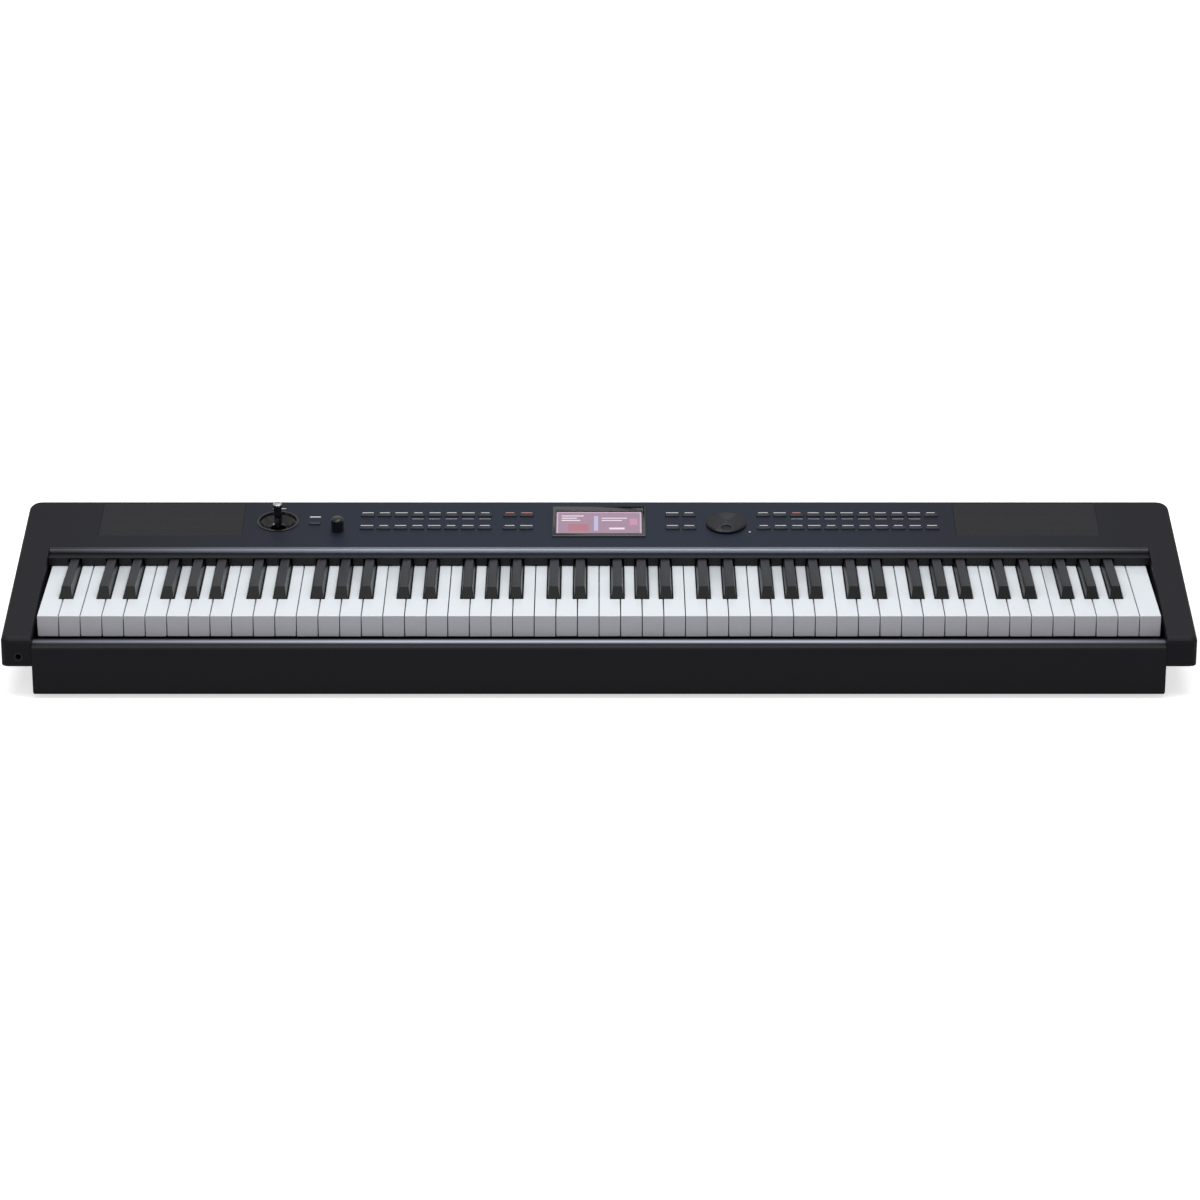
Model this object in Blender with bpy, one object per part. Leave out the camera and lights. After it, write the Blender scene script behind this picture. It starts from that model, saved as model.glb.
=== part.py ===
# Digital piano with 88 keys, a sloped control panel, a screen, a joystick and two speakers.
#
# The frame: metres, +Z up, the player sits at -Y, the lowest key is at -X.
# The origin is under the middle of the case, on the surface that the rubber feet stand on.

from math import asin, atan, cos, degrees, pi, sin

import bmesh
import bpy
from mathutils import Matrix, Vector

mm = 0.001

# Clearances
GAP = 0.3 * mm                # between pieces that touch
SLIDE_GAP = 0.3 * mm          # round a button cap or a pin that moves in a hole
RUN_GAP = 0.9 * mm            # between parts that swing past each other

# Keys. A key's own Y is measured back from its front face, its Z down or up from the white tops.
NATURALS = "CDEFGAB"
LOWEST_NOTE = ("A", 0)
WHITE_COUNT = 52
KEY_PITCH = 23.5 * mm
KEY_SIDE_GAP = 1.1 * mm
KEY_HEIGHT = 24 * mm
KEY_HEAD = 50.5 * mm          # full-width part in front of the sharps
KEY_SHOWN = 150.5 * mm        # length in front of the skirt
KEY_BODY = 188 * mm           # length to the end of the full-height body
KEY_WALL = 2.2 * mm
KEY_TRAVEL = 10 * mm          # at the front face
SHARP_SETBACK = 51.6 * mm
SHARP_WIDTH = 13.8 * mm
SHARP_TOP_WIDTH = 9.8 * mm
SHARP_RISE = 12 * mm          # above the white tops, at the sharp's front
SHARP_REAR_RISE = 8.4 * mm    # the same at the skirt
SHARP_NOSE = 7 * mm           # run of the sloped front
SHARP_DROP = 14 * mm          # depth below the white tops
# Place of each sharp's middle, from the joint between its two naturals
SHARP_OFFSET = {"C": -2.7 * mm, "D": 2.7 * mm, "F": -3.3 * mm, "G": 0.0, "A": 3.0 * mm}
RAIL_THICK = 4 * mm           # the rail at the rear that joins the keys of one moulding
RAIL_DEPTH = 11 * mm
RAIL_SETBACK = 200 * mm
RAIL_DROP = 2 * mm
TAIL_WIDTH = 7 * mm

# Case
FOOT_HEIGHT = 4 * mm
FOOT_RADIUS = 14 * mm
FOOT_INSET_X = 70 * mm
FOOT_INSET_Y = 42 * mm
WALL = 2.5 * mm
FLOOR_WALL = 3 * mm
END_GAP = 4 * mm              # between the last key and the cheek
CHEEK_WIDTH = 33 * mm
CHEEK_LIFT = 34 * mm          # underside of the cheeks above the underside of the base
FRONT_HEIGHT = 57 * mm        # front face of the base, up to the lip
LIP_TO_KEY_TOP = 24 * mm
LIP_DEPTH = 23 * mm
LIP_ROUND = 4 * mm
KEY_SETBACK = 29.5 * mm       # key fronts behind the front face
BASE_ROUND = 3.5 * mm
BASE_REAR_INSET = 3 * mm
PANEL_SLOPE = 0.15
PANEL_DEPTH = 106.7 * mm
PANEL_REAR_RISE = 31.5 * mm   # top of the rear edge above the white tops
EDGE_ROUND = 6 * mm
REAR_CORNER = 14 * mm
FRONT_CORNER = 8 * mm

# Skirt and trim along the panel's front edge
SKIRT_THICK = 2 * mm
SKIRT_LIFT = 0.8 * mm         # above the white tops
LEDGE_RISE = 10 * mm
LEDGE_THICK = 1.0 * mm
TRIM_SETBACK = 12.8 * mm      # trim's front behind the skirt's front
TRIM_DEPTH = 7.2 * mm
TRIM_ROUND = 4.5 * mm
SEAM = 0.8 * mm

# Panel controls. x runs along the keys, v up the slope from the panel's front edge.
ROW_FAR = 71 * mm
ROW_NEAR = 41.3 * mm
BUTTON_WIDTH = 14.8 * mm
BUTTON_DEPTH = 4.6 * mm
BUTTON_RISE = 1.7 * mm
BUTTON_TRAVEL = 1.0 * mm
BUTTON_PITCH = 19 * mm
RUNNER_THICK = 1.4 * mm
RUNNER_MARGIN = 1.5 * mm
GROUP_A = (-195.5 * mm, 8)    # middle of the group, number of columns
GROUP_B = (-91.5 * mm, 2)
GROUP_C = (92.4 * mm, 2)
GROUP_D = (280.9 * mm, 11)
FUNCTION_BUTTON = (-321.2 * mm, 52 * mm)
FUNCTION_WIDTH = 12 * mm
SCREEN_WIDTH = 96.8 * mm      # what shows of the screen
SCREEN_HEIGHT = 52.6 * mm
SCREEN_V = 54.7 * mm
BEZEL_SIDE = 4.1 * mm
BEZEL_NEAR = 6.5 * mm
BEZEL_FAR = 9.7 * mm
BEZEL_RISE = 1.4 * mm
BEZEL_LIP = 2 * mm
GLASS_THICK = 1.0 * mm
LCD_MARGIN = 3 * mm
KNOB_PLACE = (-294.6 * mm, 38.1 * mm)
KNOB_RADIUS = 7.1 * mm
KNOB_RISE = 15 * mm
DIAL_PLACE = (143.4 * mm, 51.3 * mm)
DIAL_RADIUS = 22.8 * mm
DIAL_RISE = 3.8 * mm
DIMPLE_RADIUS = 6 * mm
SHAFT_RADIUS = 3 * mm
SHAFT_DROP = 8 * mm
SHAFT_HOLE_RADIUS = 4 * mm
JOYSTICK_PLACE = (-362.9 * mm, 57.7 * mm)

# Joystick, measured down from the panel's surface
BOWL_RADIUS = 23.7 * mm
BOWL_RIM = 0.8 * mm
BOWL_HOLE_RADIUS = 22 * mm
BOWL_DEPTH = 9 * mm
BOWL_WALL = 1.5 * mm
BOWL_MOUTH_RADIUS = 9 * mm
HOUSING_RADIUS = 15.5 * mm
HOUSING_DEPTH = 25 * mm
PIVOT_DEPTH = 17.5 * mm
RING_RADIUS = 12 * mm
RING_HEIGHT = 4.4 * mm
RING_WALL = 3.5 * mm
PIN_RADIUS = 1.5 * mm
STICK_RADIUS = 4.6 * mm
STICK_NECK_RADIUS = 3.4 * mm
STICK_TAIL = 5 * mm
CAP_RADIUS = 5.2 * mm
CAP_THICK = 3 * mm
STICK_RISE = 22.5 * mm

# Speakers and grilles
GRILLE_INNER_X = 402 * mm
GRILLE_WIDTH = 161 * mm
GRILLE_NEAR = 25 * mm
GRILLE_LENGTH = 75 * mm
GRILLE_THICK = 1.2 * mm
GRILLE_LEDGE = 4 * mm
SPEAKER_FLANGE = 3 * mm
BASKET_RADIUS = 29 * mm
BASKET_DEPTH = 22 * mm
MAGNET_RADIUS = 19 * mm
MAGNET_DEPTH = 10 * mm
CONE_RADIUS = 24 * mm
CONE_DEPTH = 12 * mm

# Key frame under the keys
FRAME_SHEET = 2 * mm
FRAME_DECK_DROP = 15 * mm     # deck below the key bottoms
FRAME_FRONT = -3 * mm         # from the key fronts
FELT_FRONT = 6 * mm
FELT_DEPTH = 16 * mm
BOARD_THICK = 1.6 * mm
CONTACT_FRONT = 95 * mm
CONTACT_DEPTH = 45 * mm
DOME_HEIGHT = 7 * mm
DOME_DEPTH = 14 * mm

# Boards, bosses and sockets
PANEL_BOARD_DROP = 9.5 * mm   # top of the board below the panel's surface
SWITCH_DEPTH = 5 * mm
POST_RADIUS = 3.5 * mm
BOARD_EDGE = 7 * mm
MAIN_BOARD_LIFT = 5 * mm
MAIN_BOARD_DEPTH = 44 * mm
MAIN_BOARD_X = (-150 * mm, 90 * mm)
MAIN_BOARD_REAR_GAP = 6 * mm
BOSS_RADIUS = 4 * mm
CHIP_HEIGHT = 2.5 * mm
DC_X = -60 * mm
DC_SIZE = (10 * mm, 14 * mm, 11 * mm)
DC_BORE_RADIUS = 3.2 * mm
DC_BORE_DEPTH = 10 * mm
DC_PIN_RADIUS = 1 * mm
DC_PIN_SETBACK = 5 * mm
USB_X = 30 * mm
USB_SIZE = (12 * mm, 16 * mm, 11 * mm)
USB_MOUTH = (8.6 * mm, 9 * mm, 7.8 * mm)
PEDAL_X = -15 * mm
JACK_BORE_RADIUS = 3.25 * mm
JACK_BORE_DEPTH = 20 * mm
JACK_COLLAR_RADIUS = 5 * mm
JACK_BODY = (14 * mm, 24 * mm, 12 * mm)
HEADPHONE_X = -629 * mm
HEADPHONE_LIFT = 45 * mm      # above the underside of the base
POWER_X = -110 * mm
POWER_SIZE = 9 * mm
POWER_RISE = 2.4 * mm
POWER_TRAVEL = 1.8 * mm
POWER_FLANGE = 1.2 * mm
POWER_SWITCH = (12 * mm, 8 * mm)   # width and depth of the switch body
SOCKET_LIFT = 6 * mm          # middle of the sockets above the main board

# Derived places
KEYS_WIDTH = WHITE_COUNT * KEY_PITCH
WELL_WIDTH = KEYS_WIDTH + 2 * END_GAP
CASE_WIDTH = WELL_WIDTH + 2 * CHEEK_WIDTH
LEDGE_DEPTH = TRIM_SETBACK + TRIM_DEPTH + SEAM + WALL
PANEL_SETBACK = KEY_SHOWN + TRIM_SETBACK + TRIM_DEPTH + SEAM
CASE_DEPTH = KEY_SETBACK + PANEL_SETBACK + PANEL_DEPTH
FRONT_Y = -CASE_DEPTH / 2
REAR_Y = CASE_DEPTH / 2
KEY_Y = FRONT_Y + KEY_SETBACK
PANEL_Y = KEY_Y + PANEL_SETBACK
BASE_Z = FOOT_HEIGHT + GAP
FLOOR_Z = BASE_Z + FLOOR_WALL
CHEEK_Z = BASE_Z + CHEEK_LIFT
SHELL_Z = CHEEK_Z + WALL + GAP
LIP_Z = BASE_Z + FRONT_HEIGHT
KEY_Z = LIP_Z + LIP_TO_KEY_TOP
REAR_TOP_Z = KEY_Z + PANEL_REAR_RISE
BASE_REAR_Y = REAR_Y - BASE_REAR_INSET
LEDGE_Z = KEY_Z + LEDGE_RISE
HINGE_Y = KEY_Y + RAIL_SETBACK + RAIL_DEPTH / 2
HINGE_Z = KEY_Z - RAIL_DROP - RAIL_THICK * 1.5 - RUN_GAP
KEY_ANGLE = asin(KEY_TRAVEL / (HINGE_Y - KEY_Y))
DECK_Z = KEY_Z - KEY_HEIGHT - FRAME_DECK_DROP
TILT = atan(PANEL_SLOPE)
HIGH = 200 * mm               # taller than the case, for cuts that run right through


def panel_z(y):
    """Height of the sloped top plane at a depth y."""
    return REAR_TOP_Z - PANEL_SLOPE * (REAR_Y - y)


PANEL = Matrix.Translation((0, PANEL_Y, panel_z(PANEL_Y))) @ Matrix.Rotation(TILT, 4, "X")


# Scene and collections

for old in list(bpy.data.objects):
    bpy.data.objects.remove(old)

parts = bpy.data.collections.new("digital_piano")
cutters = bpy.data.collections.new("cutters")
bpy.context.scene.collection.children.link(parts)
bpy.context.scene.collection.children.link(cutters)


# Materials

def linear(value):
    """A screen colour value from 0 to 255 as the linear value that a shader takes."""
    value /= 255
    return value / 12.92 if value <= 0.04045 else ((value + 0.055) / 1.055) ** 2.4


def finish(name, red, green, blue, roughness, metallic=0.0):
    material = bpy.data.materials.new(name)
    material.use_nodes = True
    shader = material.node_tree.nodes["Principled BSDF"]
    shader.inputs["Base Color"].default_value = (linear(red), linear(green), linear(blue), 1)
    shader.inputs["Roughness"].default_value = roughness
    shader.inputs["Metallic"].default_value = metallic
    return material


CASE_BLACK = (46, 45, 53, 0.5)
WHITE_KEY = (228, 233, 238, 0.3)
BLACK_KEY = (38, 40, 46, 0.35)
BUTTON_BLACK = (18, 20, 28, 0.45)
BOARD_GREEN = (32, 82, 52, 0.6)
SOCKET_BLACK = (14, 14, 16, 0.4)


# Building blocks

def part(name, mesh, look, matrix=None):
    """A named piece of the piano with a material of its own."""
    piece = bpy.data.objects.new(name, mesh)
    piece.data.materials.append(finish(name, *look))
    piece.matrix_world = matrix or Matrix()
    parts.objects.link(piece)
    return piece


def tool(name, mesh, matrix=None):
    """A solid that cuts or joins another one and isn't a piece itself."""
    shape = bpy.data.objects.new(name, mesh)
    shape.matrix_world = matrix or Matrix()
    shape.display_type = "WIRE"
    shape.hide_render = True
    cutters.objects.link(shape)
    return shape


def combine(piece, mesh, operation, matrix=None):
    """Cut a mesh from a piece, or join it on, with a Boolean modifier."""
    number = len(piece.modifiers) + 1
    modifier = piece.modifiers.new(f"{operation.lower()}_{number}", "BOOLEAN")
    modifier.operation = operation
    modifier.solver = "EXACT"
    modifier.object = tool(f"{piece.name}_tool_{number}", mesh, matrix)


def cut(piece, mesh, matrix=None):
    combine(piece, mesh, "DIFFERENCE", matrix)


def join(piece, mesh, matrix=None):
    combine(piece, mesh, "UNION", matrix)


def finished(bm, name="solid"):
    mesh = bpy.data.meshes.new(name)
    bm.to_mesh(mesh)
    bm.free()
    return mesh


def add_box(bm, low, high):
    low, high = Vector(low), Vector(high)
    size = high - low
    place = Matrix.Translation((low + high) / 2) @ Matrix.Diagonal((*size, 1))
    return bmesh.ops.create_cube(bm, size=1, matrix=place)["verts"]


def boxes(*corners):
    """One mesh of boxes, each given by its low and high corner."""
    bm = bmesh.new()
    for low, high in corners:
        add_box(bm, low, high)
    return finished(bm)


def add_round(bm, centre, radius, length, axis="Z", segments=24, top_radius=None):
    """A cylinder or cone from centre along an axis."""
    turns = {"X": Matrix.Rotation(pi / 2, 4, "Y"), "Y": Matrix.Rotation(-pi / 2, 4, "X"), "Z": Matrix()}
    turn = turns[axis]
    place = Matrix.Translation(centre) @ turn @ Matrix.Translation((0, 0, length / 2))
    bmesh.ops.create_cone(bm, cap_ends=True, cap_tris=False, segments=segments, radius1=radius,
                          radius2=radius if top_radius is None else top_radius,
                          depth=abs(length), matrix=place)


def rounds(*cylinders, **options):
    """One mesh of cylinders, each given by centre, radius and length."""
    bm = bmesh.new()
    for centre, radius, length in cylinders:
        add_round(bm, centre, radius, length, **options)
    return finished(bm)


def soften(mesh, width, segments, chosen):
    """Round the edges that the test picks."""
    bm = bmesh.new()
    bm.from_mesh(mesh)
    edges = [edge for edge in bm.edges if chosen(edge)]
    bmesh.ops.bevel(bm, geom=edges, offset=width, segments=segments, profile=0.5, affect="EDGES")
    bm.to_mesh(mesh)
    bm.free()
    return mesh


def stands_up(edge):
    first, second = (vert.co for vert in edge.verts)
    return abs(first.z - second.z) > max(abs(first.x - second.x), abs(first.y - second.y))


def bar(outline, length):
    """A bar along X with the closed outline (y, z), centred on x = 0."""
    curve = bpy.data.curves.new("outline", "CURVE")
    curve.dimensions = "2D"
    curve.fill_mode = "BOTH"
    curve.extrude = length / 2
    spline = curve.splines.new("POLY")
    spline.points.add(len(outline) - 1)
    for point, (y, z) in zip(spline.points, outline):
        point.co = (y, z, 0, 1)
    spline.use_cyclic_u = True
    carrier = bpy.data.objects.new("outline", curve)
    parts.objects.link(carrier)
    seen = carrier.evaluated_get(bpy.context.evaluated_depsgraph_get())
    mesh = bpy.data.meshes.new_from_object(seen)
    bpy.data.objects.remove(carrier)
    bpy.data.curves.remove(curve)
    mesh.materials.clear()
    bm = bmesh.new()
    bm.from_mesh(mesh)
    bmesh.ops.remove_doubles(bm, verts=bm.verts, dist=0.001 * mm)
    bmesh.ops.recalc_face_normals(bm, faces=bm.faces)
    bm.to_mesh(mesh)
    bm.free()
    mesh.transform(Matrix(((0, 0, 1, 0), (1, 0, 0, 0), (0, 1, 0, 0), (0, 0, 0, 1))))
    return mesh


def quarter(centre, radius, start, steps=4):
    """Points of a quarter circle in the YZ plane, from an angle in quarter turns."""
    angles = [(start + step / steps) * pi / 2 for step in range(steps + 1)]
    return [(centre[0] + radius * cos(a), centre[1] + radius * sin(a)) for a in angles]


def turned(profile, segments=24):
    """A solid of revolution about Z from (radius, height) points, top to bottom down its outer side."""
    bm = bmesh.new()
    verts = [bm.verts.new((radius, 0, height)) for radius, height in profile]
    edges = [bm.edges.new(pair) for pair in zip(verts, verts[1:] + verts[:1])
             if pair[0].co.x > 0 or pair[1].co.x > 0]
    bmesh.ops.spin(bm, geom=verts + edges, cent=(0, 0, 0), axis=(0, 0, 1), dvec=(0, 0, 0),
                   angle=2 * pi, steps=segments, use_merge=True)
    bmesh.ops.remove_doubles(bm, verts=bm.verts, dist=0.001 * mm)
    bmesh.ops.recalc_face_normals(bm, faces=bm.faces)
    return finished(bm)


def on_panel(place, height=0.0):
    """Matrix of a point on the panel, given as (x, v), and a height above its surface."""
    return PANEL @ Matrix.Translation((place[0], place[1], height))


# Cases

def plan_box(inset, low, high, rear_inset=0.0):
    """A box over the case's plan, its upright edges rounded, drawn in by an inset."""
    half = CASE_WIDTH / 2 - inset
    mesh = boxes(((-half, FRONT_Y + inset, low), (half, REAR_Y - inset - rear_inset, high)))
    soften(mesh, REAR_CORNER - inset, 4, lambda e: stands_up(e) and e.verts[0].co.y > 0)
    return soften(mesh, FRONT_CORNER - inset, 3,
                  lambda e: stands_up(e) and all(v.co.y < FRONT_Y + 2 * inset + GAP for v in e.verts))


def sloped_block(inset, bottom):
    """The plan box with its top sliced along the panel's plane, lowered by the inset."""
    mesh = plan_box(inset, bottom, REAR_TOP_Z + HIGH)
    bm = bmesh.new()
    bm.from_mesh(mesh)
    geometry = bm.verts[:] + bm.edges[:] + bm.faces[:]
    sliced = bmesh.ops.bisect_plane(bm, geom=geometry, plane_co=(0, REAR_Y, REAR_TOP_Z - inset),
                                    plane_no=(0, -sin(TILT), cos(TILT)), clear_outer=True)
    rim = [item for item in sliced["geom_cut"] if isinstance(item, bmesh.types.BMEdge)]
    bmesh.ops.edgeloop_fill(bm, edges=rim)
    if not inset:
        bmesh.ops.bevel(bm, geom=rim, offset=EDGE_ROUND, segments=3, profile=0.5, affect="EDGES")
    bmesh.ops.recalc_face_normals(bm, faces=bm.faces)
    bm.to_mesh(mesh)
    bm.free()
    return mesh


def top_case():
    """Cheeks, rear block and sloped panel in one shell, open below."""
    shell = part("top_case", sloped_block(0, SHELL_Z), CASE_BLACK)
    well = WELL_WIDTH / 2
    cut(shell, boxes(((-well, FRONT_Y - HIGH, SHELL_Z - HIGH), (well, PANEL_Y, SHELL_Z + HIGH))))

    # The hollow is the drawn-in block without the walls beside the key well.
    hollow = tool("top_case_hollow", sloped_block(WALL, SHELL_Z - HIGH))
    walls = hollow.modifiers.new("well_walls", "BOOLEAN")
    walls.operation = "DIFFERENCE"
    walls.solver = "EXACT"
    walls.object = tool("top_case_well_walls", boxes(
        ((-well - WALL, FRONT_Y - HIGH, SHELL_Z - 2 * HIGH), (well + WALL, PANEL_Y + WALL, SHELL_Z + HIGH))))
    emptied = shell.modifiers.new("hollow", "BOOLEAN")
    emptied.operation = "DIFFERENCE"
    emptied.solver = "EXACT"
    emptied.object = hollow

    # The keys run on below the panel's front lip.
    cut(shell, boxes(((-well, FRONT_Y, SHELL_Z - HIGH), (well, PANEL_Y + 2 * WALL, LEDGE_Z + GAP))))

    # Everything from here is drawn on the panel's slope.
    cut(shell, button_holes(), PANEL)
    bezel_width, bezel_low, bezel_high = bezel_outline()
    inner = (SCREEN_WIDTH / 2 + GAP, SCREEN_V - SCREEN_HEIGHT / 2 - GAP, SCREEN_V + SCREEN_HEIGHT / 2 + GAP)
    cut(shell, boxes(((-inner[0] - BEZEL_LIP, inner[1] - BEZEL_LIP, -HIGH / 4),
                      (inner[0] + BEZEL_LIP, inner[2] + BEZEL_LIP, HIGH / 4))), PANEL)
    cut(shell, rounds(((*KNOB_PLACE, -HIGH / 4), SHAFT_HOLE_RADIUS, HIGH / 2),
                      ((*DIAL_PLACE, -HIGH / 4), SHAFT_HOLE_RADIUS, HIGH / 2), segments=12), PANEL)
    cut(shell, rounds(((*JOYSTICK_PLACE, -HIGH / 4), BOWL_HOLE_RADIUS + GAP, HIGH / 2)), PANEL)
    for side in (-1, 1):
        recess, opening = grille_boxes(side)
        cut(shell, boxes(recess), PANEL)
        cut(shell, boxes(opening), PANEL)
    cut(shell, rounds(((HEADPHONE_X, FRONT_Y - WALL, BASE_Z + HEADPHONE_LIFT), JACK_COLLAR_RADIUS + GAP,
                       3 * WALL), axis="Y", segments=16))
    for x, v in post_places():
        join(shell, rounds(((x, v, -PANEL_BOARD_DROP + GAP), POST_RADIUS, PANEL_BOARD_DROP - GAP - WALL / 2),
                           segments=10), PANEL)
    return shell


def bottom_case():
    """Base tub with the front lip, and the flange that closes the cheeks and the rear from below."""
    half = WELL_WIDTH / 2 - GAP
    mesh = boxes(((-half, FRONT_Y, BASE_Z), (half, BASE_REAR_Y, CHEEK_Z + WALL)))
    soften(mesh, BASE_ROUND, 2, lambda e: max(v.co.z for v in e.verts) < BASE_Z + GAP)
    tub = part("bottom_case", mesh, (29, 28, 36, 0.5))
    join(tub, plan_box(0, CHEEK_Z, CHEEK_Z + WALL))
    lip = boxes(((-half, FRONT_Y, CHEEK_Z), (half, FRONT_Y + LIP_DEPTH, LIP_Z)))
    soften(lip, LIP_ROUND, 3, lambda e: all(v.co.z > LIP_Z - GAP and v.co.y < FRONT_Y + GAP for v in e.verts))
    join(tub, lip)
    inside = half - FLOOR_WALL
    cut(tub, boxes(((-inside, FRONT_Y + FLOOR_WALL, FLOOR_Z),
                    (inside, BASE_REAR_Y - FLOOR_WALL, LIP_Z - FLOOR_WALL))))
    cut(tub, boxes(((-inside, FRONT_Y + LIP_DEPTH, FLOOR_Z), (inside, BASE_REAR_Y - FLOOR_WALL, HIGH))))
    for x, y in boss_places():
        join(tub, rounds(((x, y, FLOOR_Z - FLOOR_WALL / 2), BOSS_RADIUS,
                          MAIN_BOARD_LIFT - GAP + FLOOR_WALL / 2), segments=10))
    for low, high in wall_openings():
        cut(tub, boxes((low, high)))
    cut(tub, rounds(((PEDAL_X, BASE_REAR_Y - 2 * FLOOR_WALL, socket_z()), JACK_COLLAR_RADIUS + GAP,
                     4 * FLOOR_WALL), axis="Y", segments=16))
    return tub


def feet():
    x = WELL_WIDTH / 2 - FOOT_INSET_X
    for row, y in (("front", FRONT_Y + FOOT_INSET_Y), ("rear", BASE_REAR_Y - FOOT_INSET_Y)):
        for side, sign in (("left", -1), ("right", 1)):
            disc = rounds(((0, 0, 0), FOOT_RADIUS, FOOT_HEIGHT), segments=16)
            part(f"foot_{row}_{side}", disc, (22, 22, 24, 0.85), Matrix.Translation((sign * x, y, 0)))


# Trim between the keys and the panel

def key_skirt():
    """Moulded strip that hides the keys' rear: a skirt notched for the sharps, and a ledge."""
    front = KEY_Y + KEY_SHOWN
    low, high = KEY_Z + SKIRT_LIFT, LEDGE_Z
    outline = [(front, low), (front + SKIRT_THICK, low), (front + SKIRT_THICK, high - LEDGE_THICK),
               (front + LEDGE_DEPTH, high - LEDGE_THICK), (front + LEDGE_DEPTH, high), (front, high)]
    skirt = part("key_skirt", bar(outline, WELL_WIDTH - 2 * GAP), (24, 25, 32, 0.6))
    half = SHARP_WIDTH / 2 + KEY_SIDE_GAP / 2
    notch_top = KEY_Z + SHARP_REAR_RISE + (LEDGE_RISE - LEDGE_THICK - SHARP_REAR_RISE) * 0.9
    notches = [((x - half, front - SKIRT_THICK, KEY_Z - SHARP_DROP), (x + half, front + 2 * SKIRT_THICK, notch_top))
               for x in sharp_places()]
    cut(skirt, boxes(*notches))


def front_trim():
    """Rounded satin strip on the ledge, in front of the panel's edge."""
    front = KEY_Y + KEY_SHOWN + TRIM_SETBACK
    rear = front + TRIM_DEPTH
    bottom = LEDGE_Z + GAP
    nose = quarter((front + TRIM_ROUND, panel_z(front + TRIM_ROUND) - TRIM_ROUND), TRIM_ROUND, 1, 4)
    outline = [(rear, bottom), (rear, panel_z(rear))] + nose + [(front, bottom)]
    part("front_trim", bar(outline, WELL_WIDTH - 2 * GAP), (96, 100, 112, 0.3))


# Keys

def white_notes():
    """Name, octave and left edge of every white key, from the lowest."""
    letter, octave = LOWEST_NOTE
    notes = []
    for index in range(WHITE_COUNT):
        notes.append((letter, octave, index * KEY_PITCH - KEYS_WIDTH / 2))
        if letter == "B":
            octave += 1
        letter = NATURALS[(NATURALS.index(letter) + 1) % len(NATURALS)]
    return notes


def sharps():
    """Name, octave and middle of every black key."""
    notes = white_notes()[:-1]
    return [(letter, octave, left + KEY_PITCH + SHARP_OFFSET[letter])
            for letter, octave, left in notes if letter in SHARP_OFFSET]


def sharp_places():
    return [x for letter, octave, x in sharps()]


def section_of(letter, octave):
    """Number of the octave moulding that a key belongs to, from 1 to 7."""
    return min(max(octave, 1), 7)


def stem_edges(left):
    """Left and right side of a white key between its sharps."""
    low, high = left + KEY_SIDE_GAP / 2, left + KEY_PITCH - KEY_SIDE_GAP / 2
    reach = SHARP_WIDTH / 2 + KEY_SIDE_GAP
    for x in sharp_places():
        if abs(x - left) < KEY_PITCH / 2:
            low = max(low, x + reach)
        if abs(x - left - KEY_PITCH) < KEY_PITCH / 2:
            high = min(high, x - reach)
    return low, high


def layer_z(layer):
    """Low and high side of one of the three stacked rails, 0 at the top."""
    top = KEY_Z - RAIL_DROP - layer * (RAIL_THICK + RUN_GAP)
    return top - RAIL_THICK, top


def moulding(name, look, solids, hollows, tails, layer, span):
    """One comb of keys on its rail, turning about the hinge line."""
    origin = Matrix.Translation((0, HINGE_Y, HINGE_Z))
    mesh = boxes(*solids[0]) if isinstance(solids, tuple) else solids
    mesh.transform(origin.inverted())
    comb = part(name, mesh, look, origin)
    if isinstance(solids, tuple):
        join(comb, boxes(*solids[1]))
    low, high = layer_z(layer)
    rail_y = KEY_Y + RAIL_SETBACK
    reach = [((x - TAIL_WIDTH / 2, KEY_Y + KEY_BODY - KEY_WALL, low),
              (x + TAIL_WIDTH / 2, rail_y + RAIL_DEPTH / 2, high)) for x in tails]
    join(comb, boxes(*reach))
    join(comb, boxes(((span[0] + RUN_GAP / 2, rail_y, low), (span[1] - RUN_GAP / 2, rail_y + RAIL_DEPTH, high))))
    cut(comb, boxes(*hollows))
    return comb


def white_moulding(name, lefts, layer, span):
    heads, stems, hollows, tails = [], [], [], []
    under = KEY_Z - KEY_HEIGHT
    roof = KEY_Z - KEY_WALL
    for left in lefts:
        low, high = left + KEY_SIDE_GAP / 2, left + KEY_PITCH - KEY_SIDE_GAP / 2
        stem_low, stem_high = stem_edges(left)
        heads.append(((low, KEY_Y, under), (high, KEY_Y + KEY_HEAD, KEY_Z)))
        stems.append(((stem_low, KEY_Y + KEY_HEAD / 2, under), (stem_high, KEY_Y + KEY_BODY, KEY_Z)))
        hollows.append(((stem_low + KEY_WALL, KEY_Y + KEY_WALL, under - KEY_WALL),
                        (stem_high - KEY_WALL, KEY_Y + KEY_BODY - 2 * KEY_WALL, roof)))
        tails.append((stem_low + stem_high) / 2)
    return moulding(name, WHITE_KEY, (heads, stems), hollows, tails, layer, span)


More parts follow.
